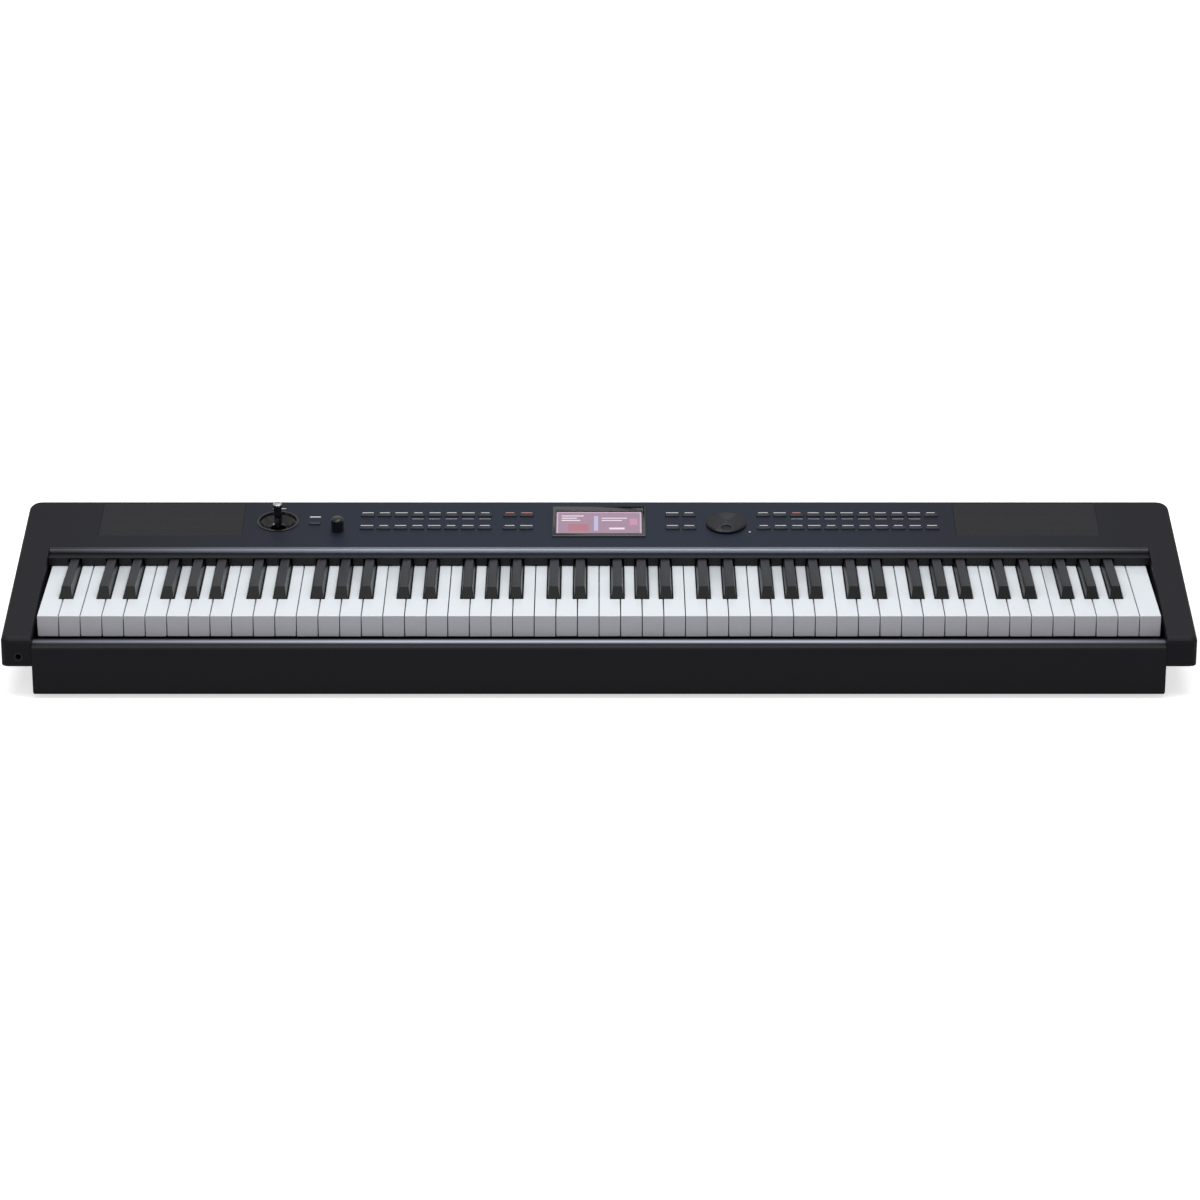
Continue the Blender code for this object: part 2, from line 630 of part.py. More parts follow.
def sharp_solid(bm, x):
    """A black key: upright below the white tops, drawn in and sloped at the front above them."""
    front, rear = KEY_Y + SHARP_SETBACK, KEY_Y + KEY_BODY
    verts = add_box(bm, (x - SHARP_WIDTH / 2, front, KEY_Z - SHARP_DROP), (x + SHARP_WIDTH / 2, rear, KEY_Z))
    roof = [face for face in {f for v in verts for f in v.link_faces} if face.normal.z > 0.5]
    raised = bmesh.ops.extrude_face_region(bm, geom=roof)["geom"]
    fall = (SHARP_RISE - SHARP_REAR_RISE) / (KEY_SHOWN - SHARP_SETBACK - SHARP_NOSE)
    for vert in (item for item in raised if isinstance(item, bmesh.types.BMVert)):
        vert.co.x = x + (vert.co.x - x) * SHARP_TOP_WIDTH / SHARP_WIDTH
        if vert.co.y < (front + rear) / 2:
            vert.co.y = front + SHARP_NOSE
        vert.co.z = KEY_Z + SHARP_RISE - fall * (vert.co.y - front - SHARP_NOSE)
    bmesh.ops.delete(bm, geom=roof, context="FACES")


def sharp_moulding(name, middles, layer, span):
    bm = bmesh.new()
    for x in middles:
        sharp_solid(bm, x)
    bm.normal_update()
    hollow_half = SHARP_TOP_WIDTH / 2 - KEY_WALL / 2
    hollows = [((x - hollow_half, KEY_Y + SHARP_SETBACK + SHARP_NOSE, KEY_Z - SHARP_DROP - KEY_WALL),
                (x + hollow_half, KEY_Y + KEY_BODY - 2 * KEY_WALL, KEY_Z + SHARP_RISE / 3)) for x in middles]
    return moulding(name, BLACK_KEY, finished(bm), hollows, middles, layer, span)


def keys():
    """Three mouldings for each octave: alternate naturals on two rails, and the sharps."""
    whites, blacks = white_notes(), sharps()
    for section in sorted({section_of(letter, octave) for letter, octave, left in whites}):
        naturals = [left for letter, octave, left in whites if section_of(letter, octave) == section]
        middles = [x for letter, octave, x in blacks if section_of(letter, octave) == section]
        span = (naturals[0], naturals[-1] + KEY_PITCH)
        white_moulding(f"octave_{section}_naturals_odd", naturals[0::2], 0, span)
        white_moulding(f"octave_{section}_naturals_even", naturals[1::2], 1, span)
        sharp_moulding(f"octave_{section}_sharps", middles, 2, span)


# Key frame and contacts

def key_frame():
    """Steel frame: deck, legs, and the rear channel that holds the rails."""
    front = KEY_Y + FRAME_FRONT
    rail_rear = KEY_Y + RAIL_SETBACK + RAIL_DEPTH + RUN_GAP
    channel_low = layer_z(2)[0] - RUN_GAP / 2
    channel_high = layer_z(0)[1] + RUN_GAP / 2
    back = rail_rear + FRAME_SHEET
    lip = rail_rear - RAIL_DEPTH
    foot = FLOOR_Z + GAP
    outline = [(front, foot), (front + FRAME_SHEET, foot), (front + FRAME_SHEET, DECK_Z - FRAME_SHEET),
               (rail_rear, DECK_Z - FRAME_SHEET), (rail_rear, foot), (back, foot),
               (back, channel_high + FRAME_SHEET), (lip, channel_high + FRAME_SHEET), (lip, channel_high),
               (rail_rear, channel_high), (rail_rear, channel_low), (lip, channel_low),
               (lip, channel_low - FRAME_SHEET), (rail_rear, channel_low - FRAME_SHEET),
               (rail_rear, DECK_Z), (front, DECK_Z)]
    part("key_frame", bar(outline, KEYS_WIDTH), (150, 152, 155, 0.35, 1.0))


def stop_felt():
    """Felt strip that the key fronts land on, on a rib of the frame's height."""
    front = KEY_Y + FELT_FRONT
    drop = KEY_TRAVEL * (HINGE_Y - front) / (HINGE_Y - KEY_Y)
    top = KEY_Z - KEY_HEIGHT - drop - GAP
    outline = [(front, DECK_Z + GAP), (front + FELT_DEPTH, DECK_Z + GAP), (front + FELT_DEPTH, top), (front, top)]
    part("key_stop_felt", bar(outline, KEYS_WIDTH - 2 * KEY_PITCH), (120, 24, 30, 0.95))


def contacts():
    """Contact board on the deck, and the rubber domes on it in one strip."""
    front = KEY_Y + CONTACT_FRONT
    low = DECK_Z + GAP
    board = [(front, low), (front + CONTACT_DEPTH, low), (front + CONTACT_DEPTH, low + BOARD_THICK),
             (front, low + BOARD_THICK)]
    part("key_contact_board", bar(board, KEYS_WIDTH - KEY_PITCH), BOARD_GREEN)
    middle = front + CONTACT_DEPTH / 2
    base = low + BOARD_THICK + GAP
    half = DOME_DEPTH / 2
    dome = [(middle - half, base), (middle + half, base), (middle + half / 2, base + DOME_HEIGHT),
            (middle - half / 2, base + DOME_HEIGHT)]
    part("contact_rubber", bar(dome, KEYS_WIDTH - 2 * KEY_PITCH), (70, 72, 78, 0.9))


# Buttons

def columns(group):
    middle, count = group
    return [middle + (index - (count - 1) / 2) * BUTTON_PITCH for index in range(count)]


def button_strips():
    """Name and the (x, v) places of the caps of each moulded strip."""
    strips = []
    for name, group in (("rhythm", GROUP_A), ("sound", GROUP_D)):
        for row, v in (("far", ROW_FAR), ("near", ROW_NEAR)):
            strips.append((f"{name}_buttons_{row}", [(x, v) for x in columns(group)]))
    for name, group in (("song", GROUP_B), ("menu", GROUP_C)):
        strips.append((f"{name}_buttons", [(x, v) for x in columns(group) for v in (ROW_FAR, ROW_NEAR)]))
    return strips


def cap_boxes(places, width, grow, low, high):
    return [((x - width / 2 - grow, v - BUTTON_DEPTH / 2 - grow, low),
             (x + width / 2 + grow, v + BUTTON_DEPTH / 2 + grow, high)) for x, v in places]


def button_holes():
    places = [place for name, group in button_strips() for place in group]
    holes = cap_boxes(places, BUTTON_WIDTH, SLIDE_GAP, -HIGH / 4, HIGH / 4)
    holes += cap_boxes([FUNCTION_BUTTON], FUNCTION_WIDTH, SLIDE_GAP, -HIGH / 4, HIGH / 4)
    return boxes(*holes)


def strip(name, places, width):
    """Button caps on a runner that is held below the panel's skin."""
    low_x = min(x for x, v in places) - width / 2 - RUNNER_MARGIN
    high_x = max(x for x, v in places) + width / 2 + RUNNER_MARGIN
    low_v = min(v for x, v in places) - BUTTON_DEPTH / 2 - RUNNER_MARGIN
    high_v = max(v for x, v in places) + BUTTON_DEPTH / 2 + RUNNER_MARGIN
    top = -WALL - GAP
    piece = part(name, boxes(((low_x, low_v, top - RUNNER_THICK), (high_x, high_v, top))), BUTTON_BLACK, PANEL)
    caps = boxes(*cap_boxes(places, width, 0, top - RUNNER_THICK / 2, BUTTON_RISE))
    join(piece, caps, PANEL)
    return piece


def buttons():
    for name, places in button_strips():
        strip(name, places, BUTTON_WIDTH)
    strip("function_button", [FUNCTION_BUTTON], FUNCTION_WIDTH)


# Screen

def bezel_outline():
    """Half width, low and high edge of the screen's frame on the panel."""
    return (SCREEN_WIDTH / 2 + BEZEL_SIDE, SCREEN_V - SCREEN_HEIGHT / 2 - BEZEL_NEAR,
            SCREEN_V + SCREEN_HEIGHT / 2 + BEZEL_FAR)


def screen():
    half, low, high = bezel_outline()
    inner_low, inner_high = SCREEN_V - SCREEN_HEIGHT / 2, SCREEN_V + SCREEN_HEIGHT / 2
    inner = SCREEN_WIDTH / 2
    mesh = boxes(((-half, low, GAP), (half, high, GAP + BEZEL_RISE)))
    soften(mesh, BEZEL_RISE / 2, 2, lambda e: all(v.co.z > GAP + BEZEL_RISE / 2 for v in e.verts))
    bezel = part("screen_bezel", mesh, (20, 21, 26, 0.3), PANEL)
    join(bezel, boxes(((-inner - BEZEL_LIP, inner_low - BEZEL_LIP, -WALL),
                       (inner + BEZEL_LIP, inner_high + BEZEL_LIP, BEZEL_RISE / 2))), PANEL)
    cut(bezel, boxes(((-inner, inner_low, -HIGH / 4), (inner, inner_high, HIGH / 4))), PANEL)
    glass_top = -GAP
    part("screen_glass", boxes(((-inner + GAP, inner_low + GAP, glass_top - GLASS_THICK),
                                (inner - GAP, inner_high - GAP, glass_top))), (150, 128, 146, 0.1), PANEL)
    part("lcd_module", boxes(((-inner - LCD_MARGIN, inner_low - LCD_MARGIN, -PANEL_BOARD_DROP + GAP),
                              (inner + LCD_MARGIN, inner_high + LCD_MARGIN, -WALL - GAP))),
         (155, 129, 147, 0.4), PANEL)


# Knob and dial

def turning_controls():
    shaft_low = -SHAFT_DROP
    knob = [(0, KNOB_RISE), (KNOB_RADIUS * 0.88, KNOB_RISE), (KNOB_RADIUS, KNOB_RISE * 0.93),
            (KNOB_RADIUS, GAP), (SHAFT_RADIUS, GAP), (SHAFT_RADIUS, shaft_low), (0, shaft_low)]
    part("volume_knob", turned(knob, 20), (16, 17, 22, 0.4), on_panel(KNOB_PLACE))
    dial = [(0, DIAL_RISE), (DIAL_RADIUS * 0.93, DIAL_RISE), (DIAL_RADIUS, DIAL_RISE * 0.7),
            (DIAL_RADIUS, GAP), (SHAFT_RADIUS, GAP), (SHAFT_RADIUS, shaft_low), (0, shaft_low)]
    wheel = part("data_dial", turned(dial, 32), (30, 32, 40, 0.3, 0.6), on_panel(DIAL_PLACE))
    dimple = rounds(((0, -DIAL_RADIUS * 0.62, DIAL_RISE * 0.7), DIMPLE_RADIUS, DIAL_RISE), segments=16)
    cut(wheel, dimple, on_panel(DIAL_PLACE))


# Joystick

def joystick():
    here = on_panel(JOYSTICK_PLACE)
    pivot = on_panel(JOYSTICK_PLACE, -PIVOT_DEPTH)
    floor = -BOWL_DEPTH
    housing_inner = HOUSING_RADIUS - BOWL_WALL
    bowl = [(BOWL_RADIUS, GAP + BOWL_RIM / 2), (BOWL_RADIUS, GAP), (BOWL_HOLE_RADIUS, GAP),
            (BOWL_HOLE_RADIUS, -WALL), (HOUSING_RADIUS, floor - BOWL_WALL), (HOUSING_RADIUS, -HOUSING_DEPTH),
            (housing_inner, -HOUSING_DEPTH), (housing_inner, floor - BOWL_WALL),
            (BOWL_MOUTH_RADIUS, floor - BOWL_WALL), (BOWL_MOUTH_RADIUS, floor),
            (HOUSING_RADIUS - BOWL_WALL, floor), (BOWL_HOLE_RADIUS - BOWL_WALL, -WALL),
            (BOWL_HOLE_RADIUS - BOWL_WALL / 2, GAP + BOWL_RIM), (BOWL_RADIUS - BOWL_RIM / 2, GAP + BOWL_RIM)]
    dish = part("joystick_bowl", turned(bowl, 28), (14, 15, 20, 0.15), here)
    cut(dish, rounds(((-HOUSING_RADIUS - BOWL_WALL, 0, -PIVOT_DEPTH), PIN_RADIUS + SLIDE_GAP,
                      2 * (HOUSING_RADIUS + BOWL_WALL)), axis="X", segments=12), here)

    ring = [(RING_RADIUS, RING_HEIGHT / 2), (RING_RADIUS, -RING_HEIGHT / 2),
            (RING_RADIUS - RING_WALL, -RING_HEIGHT / 2), (RING_RADIUS - RING_WALL, RING_HEIGHT / 2)]
    gimbal = part("joystick_gimbal", turned(ring, 20), (90, 92, 96, 0.5), pivot)
    pin_start = RING_RADIUS - RING_WALL / 2
    pin_length = HOUSING_RADIUS - pin_start
    join(gimbal, rounds(((-HOUSING_RADIUS, 0, 0), PIN_RADIUS, pin_length),
                        ((pin_start, 0, 0), PIN_RADIUS, pin_length), axis="X", segments=12), pivot)
    cut(gimbal, rounds(((0, -RING_RADIUS - RING_WALL, 0), PIN_RADIUS + SLIDE_GAP,
                        2 * (RING_RADIUS + RING_WALL)), axis="Y", segments=12), pivot)

    top = PIVOT_DEPTH + STICK_RISE
    lever = [(0, top), (CAP_RADIUS * 0.8, top), (CAP_RADIUS, top - CAP_THICK / 3), (CAP_RADIUS, top - CAP_THICK),
             (STICK_RADIUS, top - CAP_THICK), (STICK_RADIUS, PIVOT_DEPTH), (STICK_NECK_RADIUS, PIVOT_DEPTH / 2),
             (STICK_NECK_RADIUS, -STICK_TAIL), (0, -STICK_TAIL)]
    stick = part("joystick_stick", turned(lever, 20), (20, 21, 26, 0.3), pivot)
    join(stick, rounds(((0, -RING_RADIUS, 0), PIN_RADIUS, 2 * RING_RADIUS), axis="Y", segments=12), pivot)


# Speakers

def grille_boxes(side):
    """Recess for a grille and the sound opening inside it, on the left (-1) or right (1)."""
    ends = sorted((side * GRILLE_INNER_X, side * (GRILLE_INNER_X + GRILLE_WIDTH)))
    low_v, high_v = GRILLE_NEAR, GRILLE_NEAR + GRILLE_LENGTH
    floor = -GRILLE_THICK - GAP
    recess = ((ends[0] - GAP, low_v - GAP, floor), (ends[1] + GAP, high_v + GAP, HIGH / 4))
    opening = ((ends[0] + GRILLE_LEDGE, low_v + GRILLE_LEDGE, -HIGH / 4),
               (ends[1] - GRILLE_LEDGE, high_v - GRILLE_LEDGE, HIGH / 4))
    return recess, opening


def speakers():
    for name, side in (("left", -1), ("right", 1)):
        ends = sorted((side * GRILLE_INNER_X, side * (GRILLE_INNER_X + GRILLE_WIDTH)))
        plate = ((ends[0], GRILLE_NEAR, -GRILLE_THICK), (ends[1], GRILLE_NEAR + GRILLE_LENGTH, 0))
        part(f"grille_{name}", boxes(plate), (44, 43, 51, 0.8), PANEL)
        middle = ((ends[0] + ends[1]) / 2, GRILLE_NEAR + GRILLE_LENGTH / 2)
        top = -WALL - GAP
        half = (GRILLE_WIDTH / 2, GRILLE_LENGTH / 2)
        driver = part(f"speaker_{name}", boxes(((-half[0], -half[1], top - SPEAKER_FLANGE),
                                                (half[0], half[1], top))), (40, 40, 44, 0.6), on_panel(middle))
        basket = bmesh.new()
        add_round(basket, (0, 0, top - SPEAKER_FLANGE / 2 - BASKET_DEPTH), MAGNET_RADIUS, BASKET_DEPTH,
                  segments=16, top_radius=BASKET_RADIUS)
        join(driver, finished(basket), on_panel(middle))
        join(driver, rounds(((0, 0, top - BASKET_DEPTH - MAGNET_DEPTH), MAGNET_RADIUS - GAP,
                             MAGNET_DEPTH + SPEAKER_FLANGE), segments=16), on_panel(middle))
        cone = bmesh.new()
        add_round(cone, (0, 0, top - CONE_DEPTH), CONE_RADIUS / 3, CONE_DEPTH + GAP, segments=16,
                  top_radius=CONE_RADIUS)
        cut(driver, finished(cone), on_panel(middle))


# Boards

def post_places():
    """Posts under the panel that carry the panel board."""
    left = FUNCTION_BUTTON[0] - FUNCTION_WIDTH / 2 - BOARD_EDGE
    right = max(columns(GROUP_D)) + BUTTON_WIDTH / 2 + BOARD_EDGE
    near, far = ROW_NEAR - 2 * BOARD_EDGE, ROW_FAR + 2 * BOARD_EDGE
    beside_screen = bezel_outline()[0] + 2 * BOARD_EDGE
    return [(left, near), (left, far), (right, near), (right, far),
            (-beside_screen, near), (-beside_screen, far), (beside_screen, near), (beside_screen, far)]


def panel_board():
    """Board for the switches, screen, knob and dial."""
    places = post_places()
    low_x, high_x = min(x for x, v in places) - POST_RADIUS, max(x for x, v in places) + POST_RADIUS
    low_v, high_v = min(v for x, v in places) - POST_RADIUS, max(v for x, v in places) + POST_RADIUS
    top = -PANEL_BOARD_DROP
    board = part("panel_board", boxes(((low_x, low_v, top - BOARD_THICK), (high_x, high_v, top))),
                 BOARD_GREEN, PANEL)
    switch_top = -WALL - GAP - RUNNER_THICK - BUTTON_TRAVEL - GAP
    rows = []
    for name, group in button_strips() + [("function_button", [FUNCTION_BUTTON])]:
        for v in sorted({v for x, v in group}):
            xs = [x for x, place_v in group if place_v == v]
            rows.append(((min(xs) - SWITCH_DEPTH / 2, v - SWITCH_DEPTH / 2, top - BOARD_THICK / 2),
                         (max(xs) + SWITCH_DEPTH / 2, v + SWITCH_DEPTH / 2, switch_top)))
    join(board, boxes(*rows), PANEL)

    # The knob's potentiometer and the dial's encoder are soldered on, and take the shafts in blind bores.
    half = SHAFT_RADIUS * 2
    bodies = [((x - half, v - half, top - BOARD_THICK / 2), (x + half, v + half, -WALL - GAP))
              for x, v in (KNOB_PLACE, DIAL_PLACE)]
    join(board, boxes(*bodies), PANEL)
    cut(board, rounds(*[((x, v, -SHAFT_DROP - GAP), SHAFT_RADIUS + SLIDE_GAP, HIGH / 4)
                        for x, v in (KNOB_PLACE, DIAL_PLACE)], segments=16), PANEL)


def board_y():
    """Front and rear edge of the main board."""
    rear = BASE_REAR_Y - FLOOR_WALL - MAIN_BOARD_REAR_GAP
    return rear - MAIN_BOARD_DEPTH, rear


def boss_places():
    front, rear = board_y()
    return [(x, y) for x in (MAIN_BOARD_X[0] + BOSS_RADIUS, MAIN_BOARD_X[1] - BOSS_RADIUS)
            for y in (front + BOSS_RADIUS, rear - BOSS_RADIUS)]


def main_board_top():
    return FLOOR_Z + MAIN_BOARD_LIFT + BOARD_THICK


def main_board():
    front, rear = board_y()
    top = main_board_top()
    board = part("main_board", boxes(((MAIN_BOARD_X[0], front, top - BOARD_THICK), (MAIN_BOARD_X[1], rear, top))),
                 BOARD_GREEN)
    third = (MAIN_BOARD_X[1] - MAIN_BOARD_X[0]) / 3
    chips = []
    for index, size in enumerate((BOSS_RADIUS * 2, BOSS_RADIUS * 3, BOSS_RADIUS * 2)):
        x = MAIN_BOARD_X[0] + third * (index + 0.5)
        y = front + MAIN_BOARD_DEPTH * 0.3
        chips.append(((x - size, y - size / 2, top - BOARD_THICK / 2), (x + size, y + size / 2, top + CHIP_HEIGHT)))
    join(board, boxes(*chips))

    # The power switch's body stands behind its button, a travel away.
    face = BASE_REAR_Y - FLOOR_WALL - 2 * GAP - POWER_FLANGE - POWER_TRAVEL
    half = POWER_SWITCH[0] / 2
    join(board, boxes(((POWER_X - half, face - POWER_SWITCH[1], top - BOARD_THICK / 2),
                       (POWER_X + half, face, socket_z() + POWER_SIZE / 2))))


# Sockets and switch

def socket_z():
    return main_board_top() + GAP + SOCKET_LIFT


def wall_openings():
    """Square openings in the rear wall for the power button, DC inlet and USB socket."""
    z = socket_z()
    inner, outer = BASE_REAR_Y - 2 * FLOOR_WALL, BASE_REAR_Y + FLOOR_WALL
    sizes = ((POWER_X, POWER_SIZE, POWER_SIZE, SLIDE_GAP), (DC_X, DC_SIZE[0], DC_SIZE[2], GAP),
             (USB_X, USB_SIZE[0], USB_SIZE[2], GAP))
    return [((x - width / 2 - gap, inner, z - height / 2 - gap), (x + width / 2 + gap, outer, z + height / 2 + gap))
            for x, width, height, gap in sizes]


def socket_body(name, x, size, look):
    z = socket_z()
    half = size[0] / 2
    return part(name, boxes(((x - half, BASE_REAR_Y - size[1], z - size[2] / 2),
                             (x + half, BASE_REAR_Y, z + size[2] / 2))), look)


def rear_sockets():
    z = socket_z()
    inlet = socket_body("dc_inlet", DC_X, DC_SIZE, SOCKET_BLACK)
    cut(inlet, rounds(((DC_X, BASE_REAR_Y - DC_BORE_DEPTH, z), DC_BORE_RADIUS, DC_BORE_DEPTH * 2),
                      axis="Y", segments=16))
    join(inlet, rounds(((DC_X, BASE_REAR_Y - DC_BORE_DEPTH - GAP, z), DC_PIN_RADIUS,
                        DC_BORE_DEPTH - DC_PIN_SETBACK + GAP), axis="Y", segments=8))
    usb = socket_body("usb_socket", USB_X, USB_SIZE, (150, 152, 155, 0.3, 1.0))
    cut(usb, boxes(((USB_X - USB_MOUTH[0] / 2, BASE_REAR_Y - USB_MOUTH[1], z - USB_MOUTH[2] / 2),
                    (USB_X + USB_MOUTH[0] / 2, BASE_REAR_Y + GAP, z + USB_MOUTH[2] / 2))))
    jack("pedal_jack", Vector((PEDAL_X, BASE_REAR_Y, z)), 1, FLOOR_WALL)


def jack(name, mouth, direction, wall):
    """Jack socket whose collar fills a hole in a wall, its mouth facing +Y (1) or -Y (-1)."""
    inner = mouth.y - direction * (wall + GAP)
    far = mouth.y - direction * JACK_BODY[1]
    low, high = sorted((inner, far))
    body = part(name, boxes(((mouth.x - JACK_BODY[0] / 2, low, mouth.z - JACK_BODY[2] / 2),
                             (mouth.x + JACK_BODY[0] / 2, high, mouth.z + JACK_BODY[2] / 2))), SOCKET_BLACK)
    start = min(mouth.y, inner - direction * GAP)
    join(body, rounds(((mouth.x, start, mouth.z), JACK_COLLAR_RADIUS, abs(mouth.y - inner) + GAP),
                      axis="Y", segments=16))
    bore_start = mouth.y - JACK_BORE_DEPTH if direction > 0 else mouth.y - GAP
    cut(body, rounds(((mouth.x, bore_start, mouth.z), JACK_BORE_RADIUS, JACK_BORE_DEPTH + GAP),
                     axis="Y", segments=16))


def power_button():
    """Push button in the rear wall, held in by a flange behind it."""
    z = socket_z()
    half = POWER_SIZE / 2
    origin = Matrix.Translation((POWER_X, BASE_REAR_Y, z))
    inner = -FLOOR_WALL - GAP
    button = part("power_button", boxes(((-half, inner - POWER_FLANGE / 2, -half), (half, POWER_RISE, half))),
                  (20, 20, 24, 0.4), origin)
    rim = half + POWER_FLANGE
    join(button, boxes(((-rim, inner - POWER_FLANGE, -half), (rim, inner, half))), origin)


top_case()
bottom_case()
feet()
key_skirt()
front_trim()
keys()
key_frame()
stop_felt()
contacts()
buttons()
screen()
turning_controls()
joystick()
speakers()
panel_board()
main_board()
rear_sockets()
jack("headphone_jack", Vector((HEADPHONE_X, FRONT_Y, BASE_Z + HEADPHONE_LIFT)), -1, WALL)
power_button()

print(f"{len(parts.objects)} pieces, case {CASE_WIDTH / mm:.1f} x {CASE_DEPTH / mm:.1f} x {REAR_TOP_Z / mm:.1f} mm")
print(f"key hinge at y {HINGE_Y / mm:.2f}, z {HINGE_Z / mm:.2f} mm, swing {degrees(KEY_ANGLE):.2f} degrees")
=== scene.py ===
# %% [markdown]
# A digital piano.
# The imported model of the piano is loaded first. Every length below is in metres, X runs along
# the keys, Y away from the player and Z up, so a new piece lands where the model says.

# %% Load the frame
from math import atan, cos, pi, radians, sin

import bmesh
import bpy
import numpy as np
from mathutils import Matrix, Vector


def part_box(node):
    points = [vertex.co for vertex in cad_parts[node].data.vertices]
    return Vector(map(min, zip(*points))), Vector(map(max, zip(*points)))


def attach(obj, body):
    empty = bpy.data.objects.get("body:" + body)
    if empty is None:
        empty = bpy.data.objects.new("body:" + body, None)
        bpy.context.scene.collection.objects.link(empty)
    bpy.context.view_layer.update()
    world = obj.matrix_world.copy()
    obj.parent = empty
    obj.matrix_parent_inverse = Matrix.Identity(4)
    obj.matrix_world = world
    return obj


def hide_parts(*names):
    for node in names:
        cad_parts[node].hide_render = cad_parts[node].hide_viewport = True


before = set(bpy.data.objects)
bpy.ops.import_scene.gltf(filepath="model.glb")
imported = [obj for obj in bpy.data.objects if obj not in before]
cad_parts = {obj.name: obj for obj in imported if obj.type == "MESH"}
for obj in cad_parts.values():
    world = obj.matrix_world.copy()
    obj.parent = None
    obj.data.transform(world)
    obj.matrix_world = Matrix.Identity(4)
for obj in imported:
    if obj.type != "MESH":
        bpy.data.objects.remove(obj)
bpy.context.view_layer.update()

mm = 0.001

# %% [markdown]
# The photograph looks down on the keys from the player's side with a long lens. A short lens
# close by would fan the keys out, and a long one far away keeps them parallel, so the camera
# stands about five metres off. The sideways shift centres the case without turning the camera.

# %% Camera
CAMERA_PLACE = (0.0, -4.73035, 1.9146)
LOOKING_DOWN = 21.46  # degrees below level
LENS = 136.92  # focal length in millimetres
SENSOR_WIDTH = 36.0  # in millimetres
SIDE_SHIFT = 0.0008  # in picture widths
lens = bpy.data.cameras.new("camera")
lens.lens = LENS
lens.sensor_width = SENSOR_WIDTH
lens.shift_x = SIDE_SHIFT
camera = bpy.data.objects.new("camera", lens)
camera.location = CAMERA_PLACE
camera.rotation_euler = (radians(90 - LOOKING_DOWN), 0.0, 0.0)
bpy.context.collection.objects.link(camera)
bpy.context.scene.camera = camera
bpy.context.scene.view_settings.view_transform = "Standard"
print("camera at", CAMERA_PLACE, "looking", LOOKING_DOWN, "degrees down")

# %% [markdown]
# A colour is easiest to choose as a screen shows it, from 0 to 255, but a shader counts in linear
# light. One function turns the first into the second with the curve that screens use.

# %% Screen colour to linear light
TOE_END = 0.04045
TOE_SLOPE = 12.92
CURVE_OFFSET = 0.055
CURVE_POWER = 2.4


def linear(colour):
    """Screen colour from 0 to 255 to linear light: a straight toe, then a power of 2.4."""
    c = np.array(colour, float) / 255
    curve = ((c + CURVE_OFFSET) / (1 + CURVE_OFFSET)) ** CURVE_POWER
    return tuple(np.where(c < TOE_END, c / TOE_SLOPE, curve)) + (1.0,)


print("middle grey in linear light", [round(float(c), 3) for c in linear((128, 128, 128))])

# %% [markdown]
# Shader maths reads best as plain expressions. The nodes could be added and linked one by one,
# but a formula is hard to find again among its links. So one small class holds a socket, and
# adding or multiplying two of them adds the Math node that does it.

# %% A socket that does sums
class Value:
    """A shader socket in an expression. Numbers mix freely with it on either side."""

    def __init__(self, tree, socket):
        self.tree = tree
        self.socket = socket

    def math(self, operation, *others):
        """Adds a Math node that starts from this value."""
        return Sheet(self.tree).node("ShaderNodeMath", {"operation": operation}, self, *others)

    def __add__(self, other):
        return self.math("ADD", other)

    def __sub__(self, other):
        return self.math("SUBTRACT", other)

    def __rsub__(self, other):
        """A number less this value: the value times -1, plus the number."""
        return self.math("MULTIPLY_ADD", -1.0, other)

    def __mul__(self, other):
        return self.math("MULTIPLY", other)

    def __truediv__(self, other):
        return self.math("DIVIDE", other)

    def __lt__(self, other):
        return self.math("LESS_THAN", other)

    def __gt__(self, other):
        return self.math("GREATER_THAN", other)

    __radd__ = __add__
    __rmul__ = __mul__

# %% [markdown]
# Every other node, such as a noise or a bump, is added by one method, so that all of them are set
# up and linked in the same way. A Mix node has one set of sockets for each kind of data, with the
# same names in each, so its colour sockets are found by their number.

# %% The nodes of one material
MIX_FIRST_COLOUR = 6
MIX_COLOUR_OUT = 2


class Sheet:
    """The nodes of one material."""

    def __init__(self, tree):
        self.tree = tree

    def node(self, kind, settings, *inputs, out=0, **named):
        """Adds a node, sets it up, fills its sockets in order or by name, and gives one output.
        None leaves a socket as it is."""
        made = self.tree.nodes.new(kind)
        for key, value in settings.items():
            setattr(made, key, value)
        by_name = [(key.replace("_", " "), value) for key, value in named.items()]
        for key, value in list(enumerate(inputs)) + by_name:
            if isinstance(value, Value):
                self.tree.links.new(value.socket, made.inputs[key])
            elif value is not None:
                made.inputs[key].default_value = value
        return Value(self.tree, made.outputs[out])

    def place(self):
        """The point on the piece, in metres, and its three coordinates."""
        where = self.node("ShaderNodeTexCoord", {}, out="Object")
        split = self.node("ShaderNodeSeparateXYZ", {}, where)
        return where, [Value(self.tree, split.socket.node.outputs[i]) for i in range(3)]

    def blend(self, mask, first, second):
        """The first colour where the mask is 0 and the second where it is 1."""
        between = [None] * (MIX_FIRST_COLOUR - 1)
        return self.node("ShaderNodeMix", {"data_type": "RGBA"}, mask, *between, first, second,
                         out=MIX_COLOUR_OUT)

# %% [markdown]
# Each finish is one material with the Principled shader that Blender gives it. What is the same
# all over is a constant on the shader's own socket, and what changes over the surface is linked.

# %% A new material
def material(name, **constants):
    """A new material: its Principled shader, with constants on its own sockets, and its sheet."""
    made = bpy.data.materials.new(name)
    made.use_nodes = True
    shader = made.node_tree.nodes["Principled BSDF"]
    for key, value in constants.items():
        shader.inputs[key.replace("_", " ")].default_value = value
    return made, shader, Sheet(made.node_tree)


def feed(shader, socket, value):
    """Links a value to a socket of a shader."""
    value.tree.links.new(value.socket, shader.inputs[socket])

